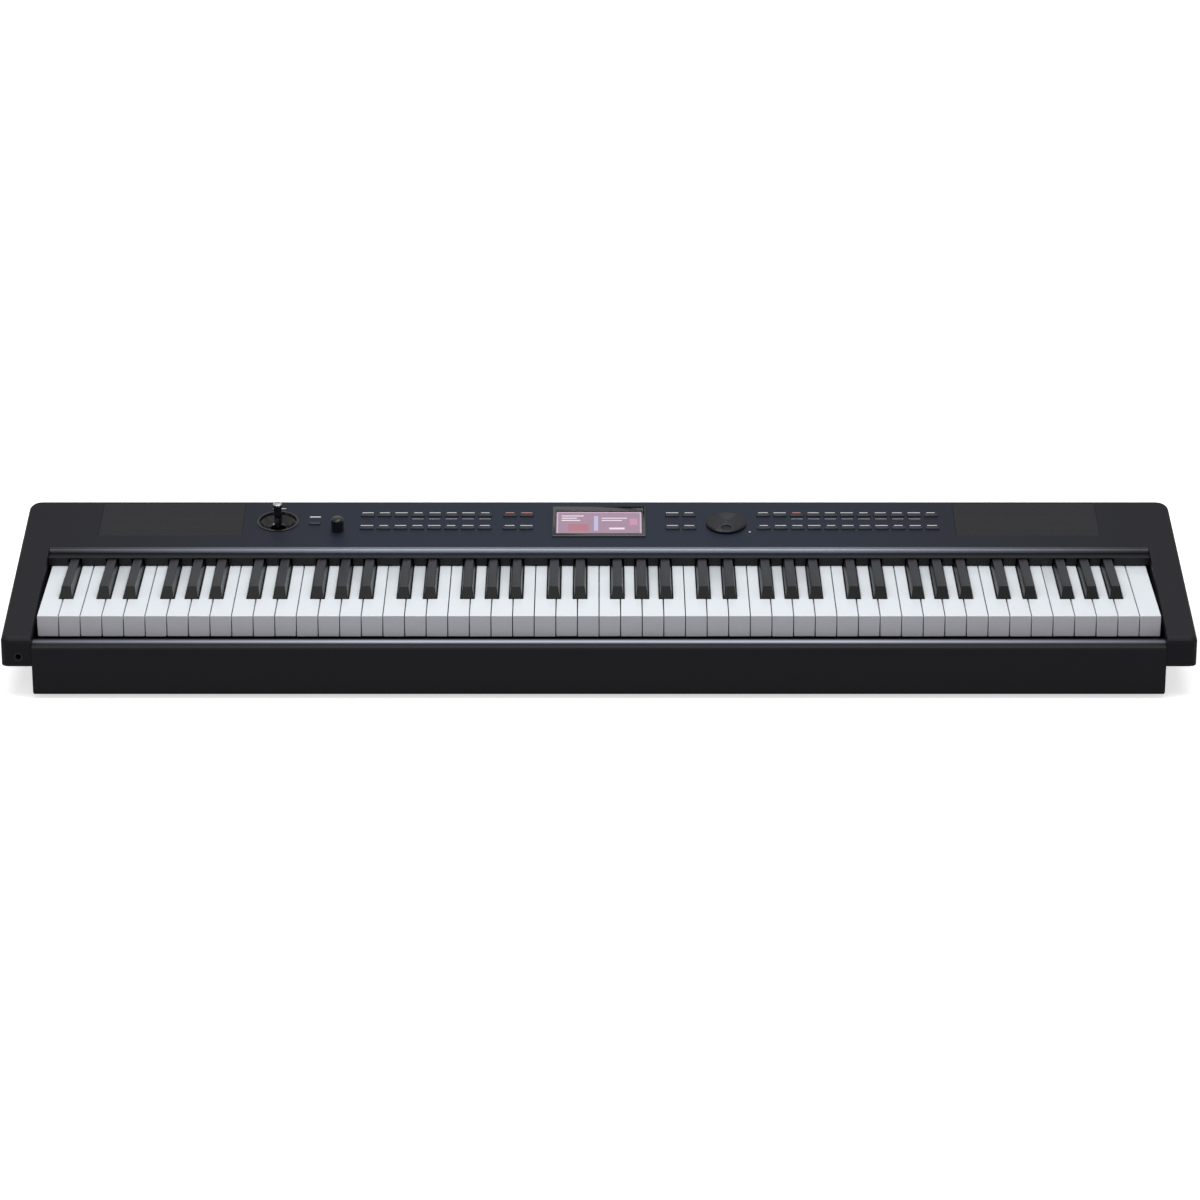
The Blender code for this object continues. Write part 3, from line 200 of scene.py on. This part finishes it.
# %% [markdown]
# Most of the piano is moulded plastic. A spark-eroded mould leaves a fine even grain on it, and
# hands wear it smoother in patches. A painted map would need unwrapping for every piece, so two
# sizes of noise do it. The fine one bumps the surface, the broad one darkens the colour by a
# tenth at most, and both move the roughness a little.

# %% Moulded plastic
GRAIN_HEIGHT = 0.04 * mm
GRAIN_DETAIL = 2.0
GRAIN_GLOSS = 0.06
PATCH_SCALE = 9.0
PATCH_DETAIL = 3.0
PATCH_GLOSS = 0.12
EDGE_SAMPLES = 4


def moulded(name, colour, roughness, grain=0.35, grain_scale=2600, drift=0.10, edge=0.0,
            second=None, where_second=None, **constants):
    """Plastic with a grain, patchy gloss and, with an edge radius, corners that catch the light.
    Its roughness is the given one, plus each noise less one half, times how far that one moves it.
    A second colour, which here is always painted light or shade, shows where where_second(sheet, x, y,
    z) is 1."""
    made, shader, sheet = material(name, **constants)
    where, (x, y, z) = sheet.place()
    fine = sheet.node("ShaderNodeTexNoise", {}, where, Scale=grain_scale, Detail=GRAIN_DETAIL)
    broad = sheet.node("ShaderNodeTexNoise", {}, where, Scale=PATCH_SCALE, Detail=PATCH_DETAIL)
    base = linear(colour)
    dark = tuple(c * (1 - drift) for c in base[:3]) + (1.0,)
    tone = sheet.blend(broad, dark, base)
    if second:
        tone = sheet.blend(where_second(sheet, x, y, z), tone, linear(second))
    feed(shader, "Base Color", tone)
    feed(shader, "Roughness", roughness + (broad - 0.5) * PATCH_GLOSS + (fine - 0.5) * GRAIN_GLOSS)
    rounded_edge = sheet.node("ShaderNodeBevel", {"samples": EDGE_SAMPLES}, edge) if edge else None
    feed(shader, "Normal", sheet.node("ShaderNodeBump", {}, Strength=grain, Distance=GRAIN_HEIGHT,
                                      Height=fine, Normal=rounded_edge))
    return made

# %% [markdown]
# Some plastics show two colours in the photograph, and each second colour is painted light or shade.
# The panel and the trim darken towards their ends as painted shade where the light falls off, the
# black keys are paler on top as a painted highlight, the white keys are darker on their fronts as
# painted shade, and a line along the lip in front of them is a painted highlight. Each is a mask
# from 0 to 1, worked out from the place of a point or from the way that its face looks, so it needs no
# image.

# %% Where the painted light and shade show
FADE_START = 0.25
FADE_LENGTH = 0.35
UPWARD_LEAST = 0.93  # the least Z of a normal that looks up
FRONT_MOST = -0.6  # the most Y of a normal that looks at the player
LIP_HIGHLIGHT_Y = -0.1388
LIP_HIGHLIGHT_WIDTH = 0.0065
LIP_TOP_Z = 0.0600
LIP_HIGHLIGHT_END_LOSS = 0.7


def painted_falloff_to_ends(sheet, x, y, z):
    """Painted light that falls off: 0 near the middle of the case, rising to 1 at its ends. It is
    the distance from the middle less the start of the fade, over the fade's length, kept between 0 and
    1."""
    rise = (x.math("ABSOLUTE") - FADE_START) / FADE_LENGTH
    return rise.math("MAXIMUM", 0.0).math("MINIMUM", 1.0)


def painted_lit_tops(sheet, x, y, z):
    """1 on faces that look up, 0 on slopes and sides: where a painted highlight makes the tops paler."""
    normal = sheet.node("ShaderNodeNewGeometry", {}, out="Normal")
    return sheet.node("ShaderNodeSeparateXYZ", {}, normal, out="Z") > UPWARD_LEAST


def painted_shade_on_fronts(sheet, x, y, z):
    """1 on faces that look at the player, such as the keys' fronts, and 0 elsewhere: where painted shade
    darkens them.
    """
    normal = sheet.node("ShaderNodeNewGeometry", {}, out="Normal")
    return sheet.node("ShaderNodeSeparateXYZ", {}, normal, out="Y") < FRONT_MOST


def painted_lip_highlight(sheet, x, y, z):
    """A painted highlight along the lip's rounded edge: 1 less the distance from it over its width,
    only on top of the lip, and weaker towards the ends."""
    away = (y - LIP_HIGHLIGHT_Y).math("ABSOLUTE") / LIP_HIGHLIGHT_WIDTH
    weaker = 1 - painted_falloff_to_ends(sheet, x, y, z) * LIP_HIGHLIGHT_END_LOSS
    return (1 - away).math("MAXIMUM", 0.0) * (z > LIP_TOP_Z) * weaker

# %% [markdown]
# The case is dark plastic, with a silver trim between the panel and the keys. The trim's brightness
# is partly a painted highlight along its rounded edge, and it darkens towards its ends as painted
# shade where that highlight fades. Its sheen is low, so the Specular level of the dark plastics is
# below the usual half, and a Bevel node in the shader rounds their edges for the light alone. That
# costs no faces on such large pieces.

# %% Plastics of the case
# Towards its ends the panel turns to a darker colour: painted shade where the light falls off.
PANEL = moulded("panel_plastic", (24, 33, 51), 0.5, edge=0.8 * mm, second=(14, 14, 23),
                where_second=painted_falloff_to_ends, Specular_IOR_Level=0.3)
# The pale line along the lip's rounded edge is a painted highlight.
SIDE = moulded("side_plastic", (22, 21, 27), 0.5, edge=1.0 * mm, second=(200, 206, 222),
               where_second=painted_lip_highlight, Specular_IOR_Level=0.3)
# The trim's pale grey is partly a painted highlight along its rounded edge, and its darker ends are
# painted shade where that highlight fades.
TRIM = moulded("trim_plastic", (130, 136, 150), 0.3, grain=0.1, edge=1.2 * mm, second=(52, 53, 60),
               where_second=painted_falloff_to_ends, Metallic=0.5)
SKIRT = moulded("skirt_plastic", (20, 20, 24), 0.45, edge=0.6 * mm, Specular_IOR_Level=0.3)
print("case plastics:", [finish.name for finish in (PANEL, SIDE, TRIM, SKIRT)])

# %% [markdown]
# White keys are polished, with a thin clear coat over an almost smooth plastic. Black keys are
# duller and have more grain. The buttons are satin, and the screen's frame, the knob and the
# joystick are glossy.

# %% Plastics of the keys and controls
# The darker fronts are painted shade.
WHITE_KEY = moulded("white_key_plastic", (240, 246, 252), 0.22, grain=0.05, drift=0.02,
                    second=(206, 206, 213), where_second=painted_shade_on_fronts, Coat_Weight=0.2)
# The paler tops are a painted highlight from the light above.
BLACK_KEY = moulded("black_key_plastic", (8, 8, 10), 0.36, grain=0.4, grain_scale=1800,
                    second=(36, 38, 44), where_second=painted_lit_tops, Specular_IOR_Level=0.4)
BUTTON = moulded("button_plastic", (40, 41, 48), 0.42, grain=0.2)
GLOSS = moulded("gloss_black_plastic", (22, 22, 26), 0.14, grain=0.04, Coat_Weight=0.6)
print("touched plastics:", [finish.name for finish in (WHITE_KEY, BLACK_KEY, BUTTON, GLOSS)])

# %% [markdown]
# The small parts and what lies inside have finishes of their own. Ink, rubber, felt, lacquer,
# paper and plated metal differ mostly in colour, roughness and grain, so the same function makes
# them too.

# %% Finishes of the small and inner parts
INNER = moulded("inner_plastic", (30, 30, 32), 0.6)
FOOT = moulded("foot_rubber", (26, 26, 27), 0.82, grain=0.8, grain_scale=1400)
MARK = moulded("printed_mark", (214, 216, 220), 0.5, grain=0.1)
RED_MARK = moulded("printed_red_mark", (214, 138, 134), 0.5, grain=0.1)
CAP = moulded("silver_cap", (206, 208, 214), 0.25, grain=0.1, Metallic=0.6)
BOARD = moulded("board_lacquer", (26, 92, 52), 0.35, grain=0.2)
FELT = moulded("felt", (34, 33, 36), 0.95, grain=1.0, grain_scale=900)
CONE = moulded("cone_paper", (24, 24, 26), 0.8, grain=0.8, grain_scale=700)
METAL = moulded("plated_metal", (176, 176, 180), 0.28, grain=0.1, Metallic=1.0)
print("finishes so far:", len(bpy.data.materials))

# %% [markdown]
# A speaker grille is a thin plate pierced by small holes in staggered rows. Cutting thousands of
# holes would cost many faces, and from a step away they read as a dark, even dot screen. So the
# plate takes a pattern of round dots: two equal grids, one shifted by half a pitch and half a
# row, so that each hole has six neighbours at the same distance.

# %% Pierced grille
HOLE_PITCH = 3.0 * mm
HOLE_RADIUS = 0.95 * mm
HOLE_DEPTH = 0.4 * mm
HOLE_BUMP = 0.6
HOLE_COLOUR = (9, 9, 11)
ROW_STEP = 1.732  # pitches from a row to the next one of its grid, near the square root of 3
ROW_STEP_SQUARED = 3.0
GRID_START = 1.0  # the grids start this far to the left, clear of negative places
PLATE_ROUGHNESS = 0.45
HOLE_ROUGHER = 0.4


def pierced(name, colour):
    """A plate with dots where the distance to the nearest hole's middle is under its radius."""
    made, shader, sheet = material(name)
    _, (x, y, _) = sheet.place()

    def grid(shift):
        """1 inside a hole of this grid, 0 outside. The distance is the root of the squares of
        the two distances to the middle of a cell, in pitches."""
        along = ((x + shift) / HOLE_PITCH).math("FRACT") - 0.5
        across = ((y + shift * ROW_STEP) / (HOLE_PITCH * ROW_STEP)).math("FRACT") - 0.5
        away = (along * along + across * across * ROW_STEP_SQUARED).math("SQRT")
        return away < HOLE_RADIUS / HOLE_PITCH

    hole = grid(GRID_START).math("MAXIMUM", grid(GRID_START + HOLE_PITCH / 2))
    feed(shader, "Base Color", sheet.blend(hole, linear(colour), linear(HOLE_COLOUR)))
    feed(shader, "Roughness", PLATE_ROUGHNESS + hole * HOLE_ROUGHER)
    feed(shader, "Normal", sheet.node("ShaderNodeBump", {}, Strength=HOLE_BUMP, Distance=HOLE_DEPTH,
                                      Height=1 - hole))
    return made


GRILLE = pierced("pierced_plate", (24, 24, 32))
print("grille holes every", HOLE_PITCH, "along a row")

# %% [markdown]
# The screen glows with a pale picture under clear glass. Its picture here is a plain page of
# blocks: a border, a few lines and some patches. An image file would carry it too, but a block
# is only four comparisons, and its edges stay sharp from close by.

# %% Screen picture
PAGE = (156, 128, 148)
PAGE_BORDER = (196, 174, 194)
PAGE_LIMITS = (0.02, 0.98, 0.05, 0.95)
PATCHES = [((0.14, 0.38, 0.14, 0.46), (168, 112, 124)),
           ((0.44, 0.49, 0.16, 0.82), (180, 176, 208)),
           ((0.86, 0.95, 0.42, 0.70), (190, 138, 162)),
           ((0.62, 0.80, 0.22, 0.30), (226, 214, 226))]
LINE_STEP = 0.10
LINE_HEIGHT = 0.04


def lines(left, top, lengths, colour):
    """The limits and the colour of bars under one another, one bar for each length."""
    return [((left, left + length, top - LINE_STEP * k - LINE_HEIGHT, top - LINE_STEP * k), colour)
            for k, length in enumerate(lengths)]


def screen_picture(name, low, high):
    """Blocks over a page. u and v run from 0 to 1 over the screen, left to right and up, and a
    block's limits are its left, right, bottom and top in them."""
    made, shader, sheet = material(name, Roughness=0.3, Coat_Weight=0.2, Emission_Strength=0.2)
    _, (x, y, _) = sheet.place()
    u = (x - low[0]) / (high[0] - low[0])
    v = (y - low[1]) / (high[1] - low[1])

    def block(left, right, bottom, top):
        """1 between the four limits, 0 outside: the product of four comparisons."""
        return (u > left) * (u < right) * (v > bottom) * (v < top)

    page = sheet.blend(block(*PAGE_LIMITS), linear(PAGE_BORDER), linear(PAGE))
    blocks = PATCHES + lines(0.06, 0.84, (0.26, 0.18, 0.22), (228, 218, 228))
    blocks += lines(0.53, 0.74, (0.30, 0.24), (222, 212, 226))
    for limits, colour in blocks:
        page = sheet.blend(block(*limits), page, linear(colour))
    feed(shader, "Base Color", page)
    feed(shader, "Emission Color", page)
    return made


glass_low, glass_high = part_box("screen_glass")
SCREEN = screen_picture("screen_picture", glass_low, glass_high)
print("screen width", round(float(glass_high[0] - glass_low[0]), 4))

# %% [markdown]
# Every new piece is added in the same way: its mesh gets a finish and an object, and the frame is
# told which body carries the object.

# %% A new piece
def add_piece(name, mesh, finish, body):
    """A new object of this mesh, in one finish, that rides on a body of the model."""
    mesh.materials.append(finish)
    piece = bpy.data.objects.new(name, mesh)
    bpy.context.collection.objects.link(piece)
    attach(piece, body)
    return piece

# %% [markdown]
# The keys, the button caps and the screen's frame have soft edges that draw a thin bright line in
# the light. The model's edges are sharp, and a Bevel node would leave their outline so. Instead a
# copy of each such node is merged, its flat faces are joined, and a Bevel modifier rounds its
# edges. The copy then stands for the node.

# %% Rounded copies
MERGE_DISTANCE = 0.01 * mm
FLAT_ANGLE = radians(1)
EDGE_ANGLE = radians(30)
SMOOTH_ANGLE = radians(50)


def rounded(node, body, finish, width, segments=2):
    """A copy of a node with every edge over 30 degrees rounded to the given width."""
    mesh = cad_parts[node].data.copy()
    mesh.materials.clear()
    cage = bmesh.new()
    cage.from_mesh(mesh)
    bmesh.ops.remove_doubles(cage, verts=cage.verts, dist=MERGE_DISTANCE)
    bmesh.ops.dissolve_limit(cage, angle_limit=FLAT_ANGLE, verts=cage.verts, edges=cage.edges)
    cage.to_mesh(mesh)
    cage.free()
    mesh.shade_smooth()
    mesh.set_sharp_from_angle(angle=SMOOTH_ANGLE)
    piece = add_piece(node + "_finished", mesh, finish, body)
    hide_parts(node)
    bevel = piece.modifiers.new("rounded edges", "BEVEL")
    bevel.width = width
    bevel.segments = segments
    bevel.limit_method = "ANGLE"
    bevel.angle_limit = EDGE_ANGLE

# %% [markdown]
# An octave's white keys are two mouldings, of its odd and its even keys, and its black keys are a
# third. The black keys have the roundest edges, and one segment more keeps those smooth.

# %% Keys, caps and the screen's frame
OCTAVES = range(1, 8)
WHITE_KEY_EDGE = 0.7 * mm
BLACK_KEY_EDGE = 0.9 * mm
BUTTON_EDGE = 0.35 * mm
BEZEL_EDGE = 0.5 * mm
STRIPS = ("rhythm_buttons_far", "rhythm_buttons_near", "sound_buttons_far", "sound_buttons_near",
          "song_buttons", "menu_buttons", "function_button")

for octave in OCTAVES:
    for kind in ("naturals_odd", "naturals_even"):
        name = f"octave_{octave}_{kind}"
        rounded(name, name, WHITE_KEY, WHITE_KEY_EDGE)
    name = f"octave_{octave}_sharps"
    rounded(name, name, BLACK_KEY, BLACK_KEY_EDGE, segments=3)
for name in STRIPS:
    rounded(name, name, BUTTON, BUTTON_EDGE)
rounded("screen_bezel", "chassis", GLOSS, BEZEL_EDGE)

# %% [markdown]
# What lies on the panel is placed as on a drawing of it: x along the panel, v up its slope from
# its front edge, and w out of it. One function turns those into the model's coordinates.

# %% Places on the panel
PANEL_FRONT = np.array([0.0, 47.05, 100.795]) * mm
PANEL_SLOPE = 0.15  # rise over depth
TILT = atan(PANEL_SLOPE)
ALONG = np.array([1.0, 0.0, 0.0])
UP_SLOPE = np.array([0.0, cos(TILT), sin(TILT)])
OUT = np.array([0.0, -sin(TILT), cos(TILT)])


def on_panel(x, v, w=0.0):
    """Points of the panel: its front edge, plus x along it, v up its slope and w out of it."""
    x, v, w = np.broadcast_arrays(x, v, w)
    return PANEL_FRONT + x[..., None] * ALONG + v[..., None] * UP_SLOPE + w[..., None] * OUT


print("panel tilt", round(TILT, 4), "radians")

# %% [markdown]
# Short dashes are printed on the panel beside its buttons. They could be a pattern in the panel's
# material, but thin tiles keep their sharp ends in every export. The white ones are one mesh and
# the red ones another: each tile is a rectangle of the panel's own plane, lifted by the
# thickness of the ink.

# %% Tiles of ink
INK = 0.06 * mm
PANEL_GAP = 0.02 * mm


def tiles(name, places, finish):
    """Closed thin boxes, one for each (x, v, width, depth). A corner is the middle plus or minus
    half the width and half the depth, at the panel's gap or an ink's thickness above it."""
    x, v, width, depth = np.array(places, float).T
    side = np.array([-0.5, 0.5, 0.5, -0.5] * 2)
    end = np.array([-0.5, -0.5, 0.5, 0.5] * 2)
    lift = np.repeat([0, 1], 4) * INK + PANEL_GAP
    points = on_panel(x[:, None] + width[:, None] * side, v[:, None] + depth[:, None] * end,
                      lift[None, :])
    box = np.array([(0, 3, 2, 1), (4, 5, 6, 7), (0, 1, 5, 4), (1, 2, 6, 5), (2, 3, 7, 6), (3, 0, 4, 7)])
    faces = (box[None] + len(side) * np.arange(len(x))[:, None, None]).reshape(-1, 4)
    mesh = bpy.data.meshes.new(name)
    mesh.from_pydata(points.reshape(-1, 3).tolist(), [], faces.tolist())
    add_piece(name, mesh, finish, "chassis")

# %% [markdown]
# The buttons stand in four groups of two rows. Each has a dash above it, and neighbouring dashes
# differ in width. Some buttons of the far row also have a fine line below them, and a few of its
# dashes are red. The joystick, the knob and the button beside it have a dash each.

# %% Printed marks
BUTTON_PITCH = 19 * mm
ROW_FAR = 71 * mm
ROW_NEAR = 41.3 * mm
GROUPS = {"rhythm": (-195.5 * mm, 8), "song": (-91.5 * mm, 2),
          "menu": (92.4 * mm, 2), "sound": (280.9 * mm, 11)}
RED_COLUMNS = {"song": (0, 1), "sound": (2,)}
LINED_COLUMNS = {"rhythm": range(3, 8), "sound": range(2, 10)}
DASH_RISE = 7.4 * mm
DASH_DEPTH = 1.5 * mm
DASH_WIDTHS = (12.5 * mm, 9.5 * mm, 14 * mm, 11 * mm)
LINE_DROP = 7.0 * mm
LINE_WIDTH = 13 * mm
LINE_DEPTH = 0.6 * mm
FUNCTION_MARK = (-321.2 * mm, 68.5 * mm, 12 * mm, 2.4 * mm)
JOYSTICK_MARK = (-362.9 * mm, 88 * mm, 15 * mm, DASH_DEPTH)
KNOB_MARK = (-294.6 * mm, 62 * mm, 10 * mm, DASH_DEPTH)

white, red = [], []
for number, (group, (middle, count)) in enumerate(GROUPS.items()):
    for row, v in enumerate((ROW_FAR, ROW_NEAR)):
        for column in range(count):
            x = middle + (column - (count - 1) / 2) * BUTTON_PITCH
            width = DASH_WIDTHS[(column * 3 + row * 2 + number) % len(DASH_WIDTHS)]
            reddish = v == ROW_FAR and column in RED_COLUMNS.get(group, ())
            (red if reddish else white).append((x, v + DASH_RISE, width, DASH_DEPTH))
            if v == ROW_FAR and column in LINED_COLUMNS.get(group, ()):
                white.append((x, v - LINE_DROP, LINE_WIDTH, LINE_DEPTH))
white += [FUNCTION_MARK, JOYSTICK_MARK, KNOB_MARK]
tiles("printed_marks", white, MARK)
tiles("printed_red_marks", red, RED_MARK)
print("marks:", len(white) + len(red))

# %% [markdown]
# The knob, the dial, the joystick's dish and its stick are turned pieces, and keep the model's
# shape. Three small discs are new: the silver one on the stick, the glossy one on the knob and
# the lamp beside the dial. Each is a profile swept round the panel's normal, which gives it a
# true edge to catch the light.

# %% Turned discs
DISC_SMOOTH_ANGLE = radians(40)
STICK_PLACE = (-362.9 * mm, 57.7 * mm)
STICK_TOP = 22.55 * mm
KNOB_PLACE = (-294.6 * mm, 38.1 * mm)
KNOB_TOP = 15.03 * mm
LAMP_PLACE = (169.7 * mm, 33.4 * mm)


def turned(name, body, place, base, profile, finish, sides=48):
    """Sweeps (radius, height) points, in millimetres, round the panel's normal at a place, from
    a base above the panel: x = r cos a and v = r sin a."""
    r, h = np.array(profile, float).T * mm
    a = np.linspace(0, 2 * pi, sides, endpoint=False)
    points = on_panel(place[0] + r[:, None] * np.cos(a), place[1] + r[:, None] * np.sin(a),
                      base + h[:, None])
    ring = np.arange(sides)
    after = (ring + 1) % sides
    start = np.arange(len(r) - 1)[:, None] * sides
    walls = np.stack([start + ring, start + after, start + sides + after, start + sides + ring], axis=-1)
    lids = [ring[::-1].tolist(), (ring + (len(r) - 1) * sides).tolist()]
    mesh = bpy.data.meshes.new(name)
    mesh.from_pydata(points.reshape(-1, 3).tolist(), [], walls.reshape(-1, 4).tolist() + lids)
    mesh.shade_smooth()
    mesh.set_sharp_from_angle(angle=DISC_SMOOTH_ANGLE)
    add_piece(name, mesh, finish, body)
    print("turned", name, "with", len(mesh.polygons), "faces")


turned("stick_disc", "joystick_stick", STICK_PLACE, STICK_TOP,
       [(5.0, 0), (5.0, 0.5), (4.4, 0.9)], CAP)
turned("knob_disc", "volume_knob", KNOB_PLACE, KNOB_TOP,
       [(5.8, 0), (5.8, 0.3), (5.2, 0.6)], GLOSS)
turned("dial_lamp", "chassis", LAMP_PLACE, PANEL_GAP,
       [(1.2, 0), (1.2, 0.4), (0.7, 0.8)], MARK, sides=24)

# %% [markdown]
# The dial's face is turned metal, cut by a tool in fine rings. A lamp then draws a bright wedge
# across it. Real grooves would be too many faces, so a wave of the distance from the dial's
# middle bumps the surface.

# %% Turned dial
DIAL_PLACE = (143.4 * mm, 51.3 * mm)
DIAL_FADE = 30 * mm
DIAL_RIM_COLOUR = (20, 20, 23)
GROOVE = 0.6 * mm
GROOVE_DEPTH = 0.06 * mm
GROOVE_BUMP = 0.8


def machined(name, colour):
    """Rings round the dial: the sine of the distance from its middle, one wave for each groove.
    The colour darkens outwards with the same distance."""
    made, shader, sheet = material(name, Roughness=0.2, Metallic=0.35)
    _, (x, y, _) = sheet.place()
    middle = on_panel(*DIAL_PLACE)
    dx = x - middle[0]
    dv = (y - middle[1]) / UP_SLOPE[1]
    away = (dx * dx + dv * dv).math("SQRT")
    outwards = (away / DIAL_FADE).math("MINIMUM", 1.0)
    feed(shader, "Base Color", sheet.blend(outwards, linear(colour), linear(DIAL_RIM_COLOUR)))
    feed(shader, "Normal", sheet.node("ShaderNodeBump", {}, Strength=GROOVE_BUMP, Distance=GROOVE_DEPTH,
                                      Height=(away * (2 * pi / GROOVE)).math("SINE")))
    return made


DIAL = machined("turned_dial", (40, 42, 50))
print("dial middle", [round(float(c), 5) for c in on_panel(*DIAL_PLACE)])

# %% [markdown]
# What keeps the model's own mesh takes its finish on the node itself. A copy would add nothing,
# because these shapes are right as they are.

# %% Finishes of the model's nodes
NODE_FINISHES = {
    DIAL: ("data_dial",),
    PANEL: ("top_case",),
    SIDE: ("bottom_case",),
    SKIRT: ("key_skirt",),
    TRIM: ("front_trim",),
    SCREEN: ("screen_glass",),
    GLOSS: ("volume_knob", "joystick_bowl", "joystick_stick"),
    GRILLE: ("grille_left", "grille_right"),
    INNER: ("key_frame", "joystick_gimbal", "pedal_jack", "headphone_jack", "lcd_module"),
    FOOT: ("foot_front_left", "foot_front_right", "foot_rear_left", "foot_rear_right",
           "contact_rubber"),
    BOARD: ("key_contact_board", "panel_board", "main_board"),
    FELT: ("key_stop_felt",),
    CONE: ("speaker_left", "speaker_right"),
    METAL: ("dc_inlet", "usb_socket"),
    BUTTON: ("power_button",),
}
for finish, nodes in NODE_FINISHES.items():
    for node in nodes:
        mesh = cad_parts[node].data
        mesh.materials.clear()
        mesh.materials.append(finish)
print("nodes with a finish:", sum(len(nodes) for nodes in NODE_FINISHES.values()))

# %% [markdown]
# The piano lies on white, as in a catalogue. A floor lit up to white would light the piano from
# below, so only the camera sees it this pale, partly by its own glow. For every other ray it is
# grey, and the piano's soft shadow stays on it.

# %% Floor
FLOOR_REACH = 30.0
FLOOR_GLOW = 0.62
FLOOR_SEEN = (0.9, 0.9, 0.9, 1.0)
FLOOR_BOUNCE = (0.4, 0.4, 0.4, 1.0)
WHITE = (1.0, 1.0, 1.0, 1.0)
u, v = np.meshgrid([-1.0, 1.0], [-1.0, 1.0])
floor_points = np.stack([u.ravel(), v.ravel(), 0 * u.ravel()], axis=1) * FLOOR_REACH
floor_mesh = bpy.data.meshes.new("floor")
floor_mesh.from_pydata(floor_points.tolist(), [], [(0, 1, 3, 2)])
floor = bpy.data.objects.new("floor", floor_mesh)
bpy.context.collection.objects.link(floor)
pale, pale_shader, pale_sheet = material("pale_floor", Roughness=1.0, Emission_Color=WHITE)
rays = pale_sheet.node("ShaderNodeLightPath", {}, out="Is Camera Ray")
feed(pale_shader, "Emission Strength", rays * FLOOR_GLOW)
feed(pale_shader, "Base Color", pale_sheet.blend(rays, FLOOR_BOUNCE, FLOOR_SEEN))
floor_mesh.materials.append(pale)
print("floor", 2 * FLOOR_REACH, "metres wide")

# %% [markdown]
# The world behind it is white to the camera in the same way, and a grey light for the piano. Its
# light comes from all sides, which fills the shadows as a white studio's walls do.

# %% World
SKY_LIGHT = 0.42
SKY_MORE_SEEN = 0.58  # what the camera sees more, up to a strength of 1
world = bpy.data.worlds.new("studio")
bpy.context.scene.world = world
world.use_nodes = True
sky = Sheet(world.node_tree)
seen = sky.node("ShaderNodeLightPath", {}, out="Is Camera Ray")
backdrop = world.node_tree.nodes["Background"]
backdrop.inputs["Color"].default_value = WHITE
feed(backdrop, "Strength", SKY_LIGHT + seen * SKY_MORE_SEEN)
print("world strength", SKY_LIGHT, "for the light,", SKY_LIGHT + SKY_MORE_SEEN, "for the camera")

# %% [markdown]
# Three area lamps stand for a studio's softboxes. The large one overhead gives the main light,
# the one behind the player lights the keys' fronts, and the small one beyond the piano brightens
# the trim and the rounded edges.

# %% Softboxes
def softbox(name, place, turn, size, power):
    """A rectangular area lamp at a place, turned by angles in degrees, with its power in watts."""
    light = bpy.data.lights.new(name, "AREA")
    light.shape = "RECTANGLE"
    light.size, light.size_y = size
    light.energy = power
    lamp = bpy.data.objects.new(name, light)
    lamp.location = place
    lamp.rotation_euler = [radians(angle) for angle in turn]
    bpy.context.collection.objects.link(lamp)


softbox("softbox_over", place=(0.0, -0.5, 2.6), turn=(-8, 0, 0), size=(3.0, 1.6), power=42)
softbox("softbox_front", place=(-0.6, -2.4, 1.9), turn=(55, 0, -12), size=(1.8, 1.2), power=6)
softbox("softbox_rear", place=(0.0, 0.9, 2.3), turn=(-20, 0, 0), size=(0.8, 0.4), power=6)
print("softboxes:", len(bpy.data.lights))
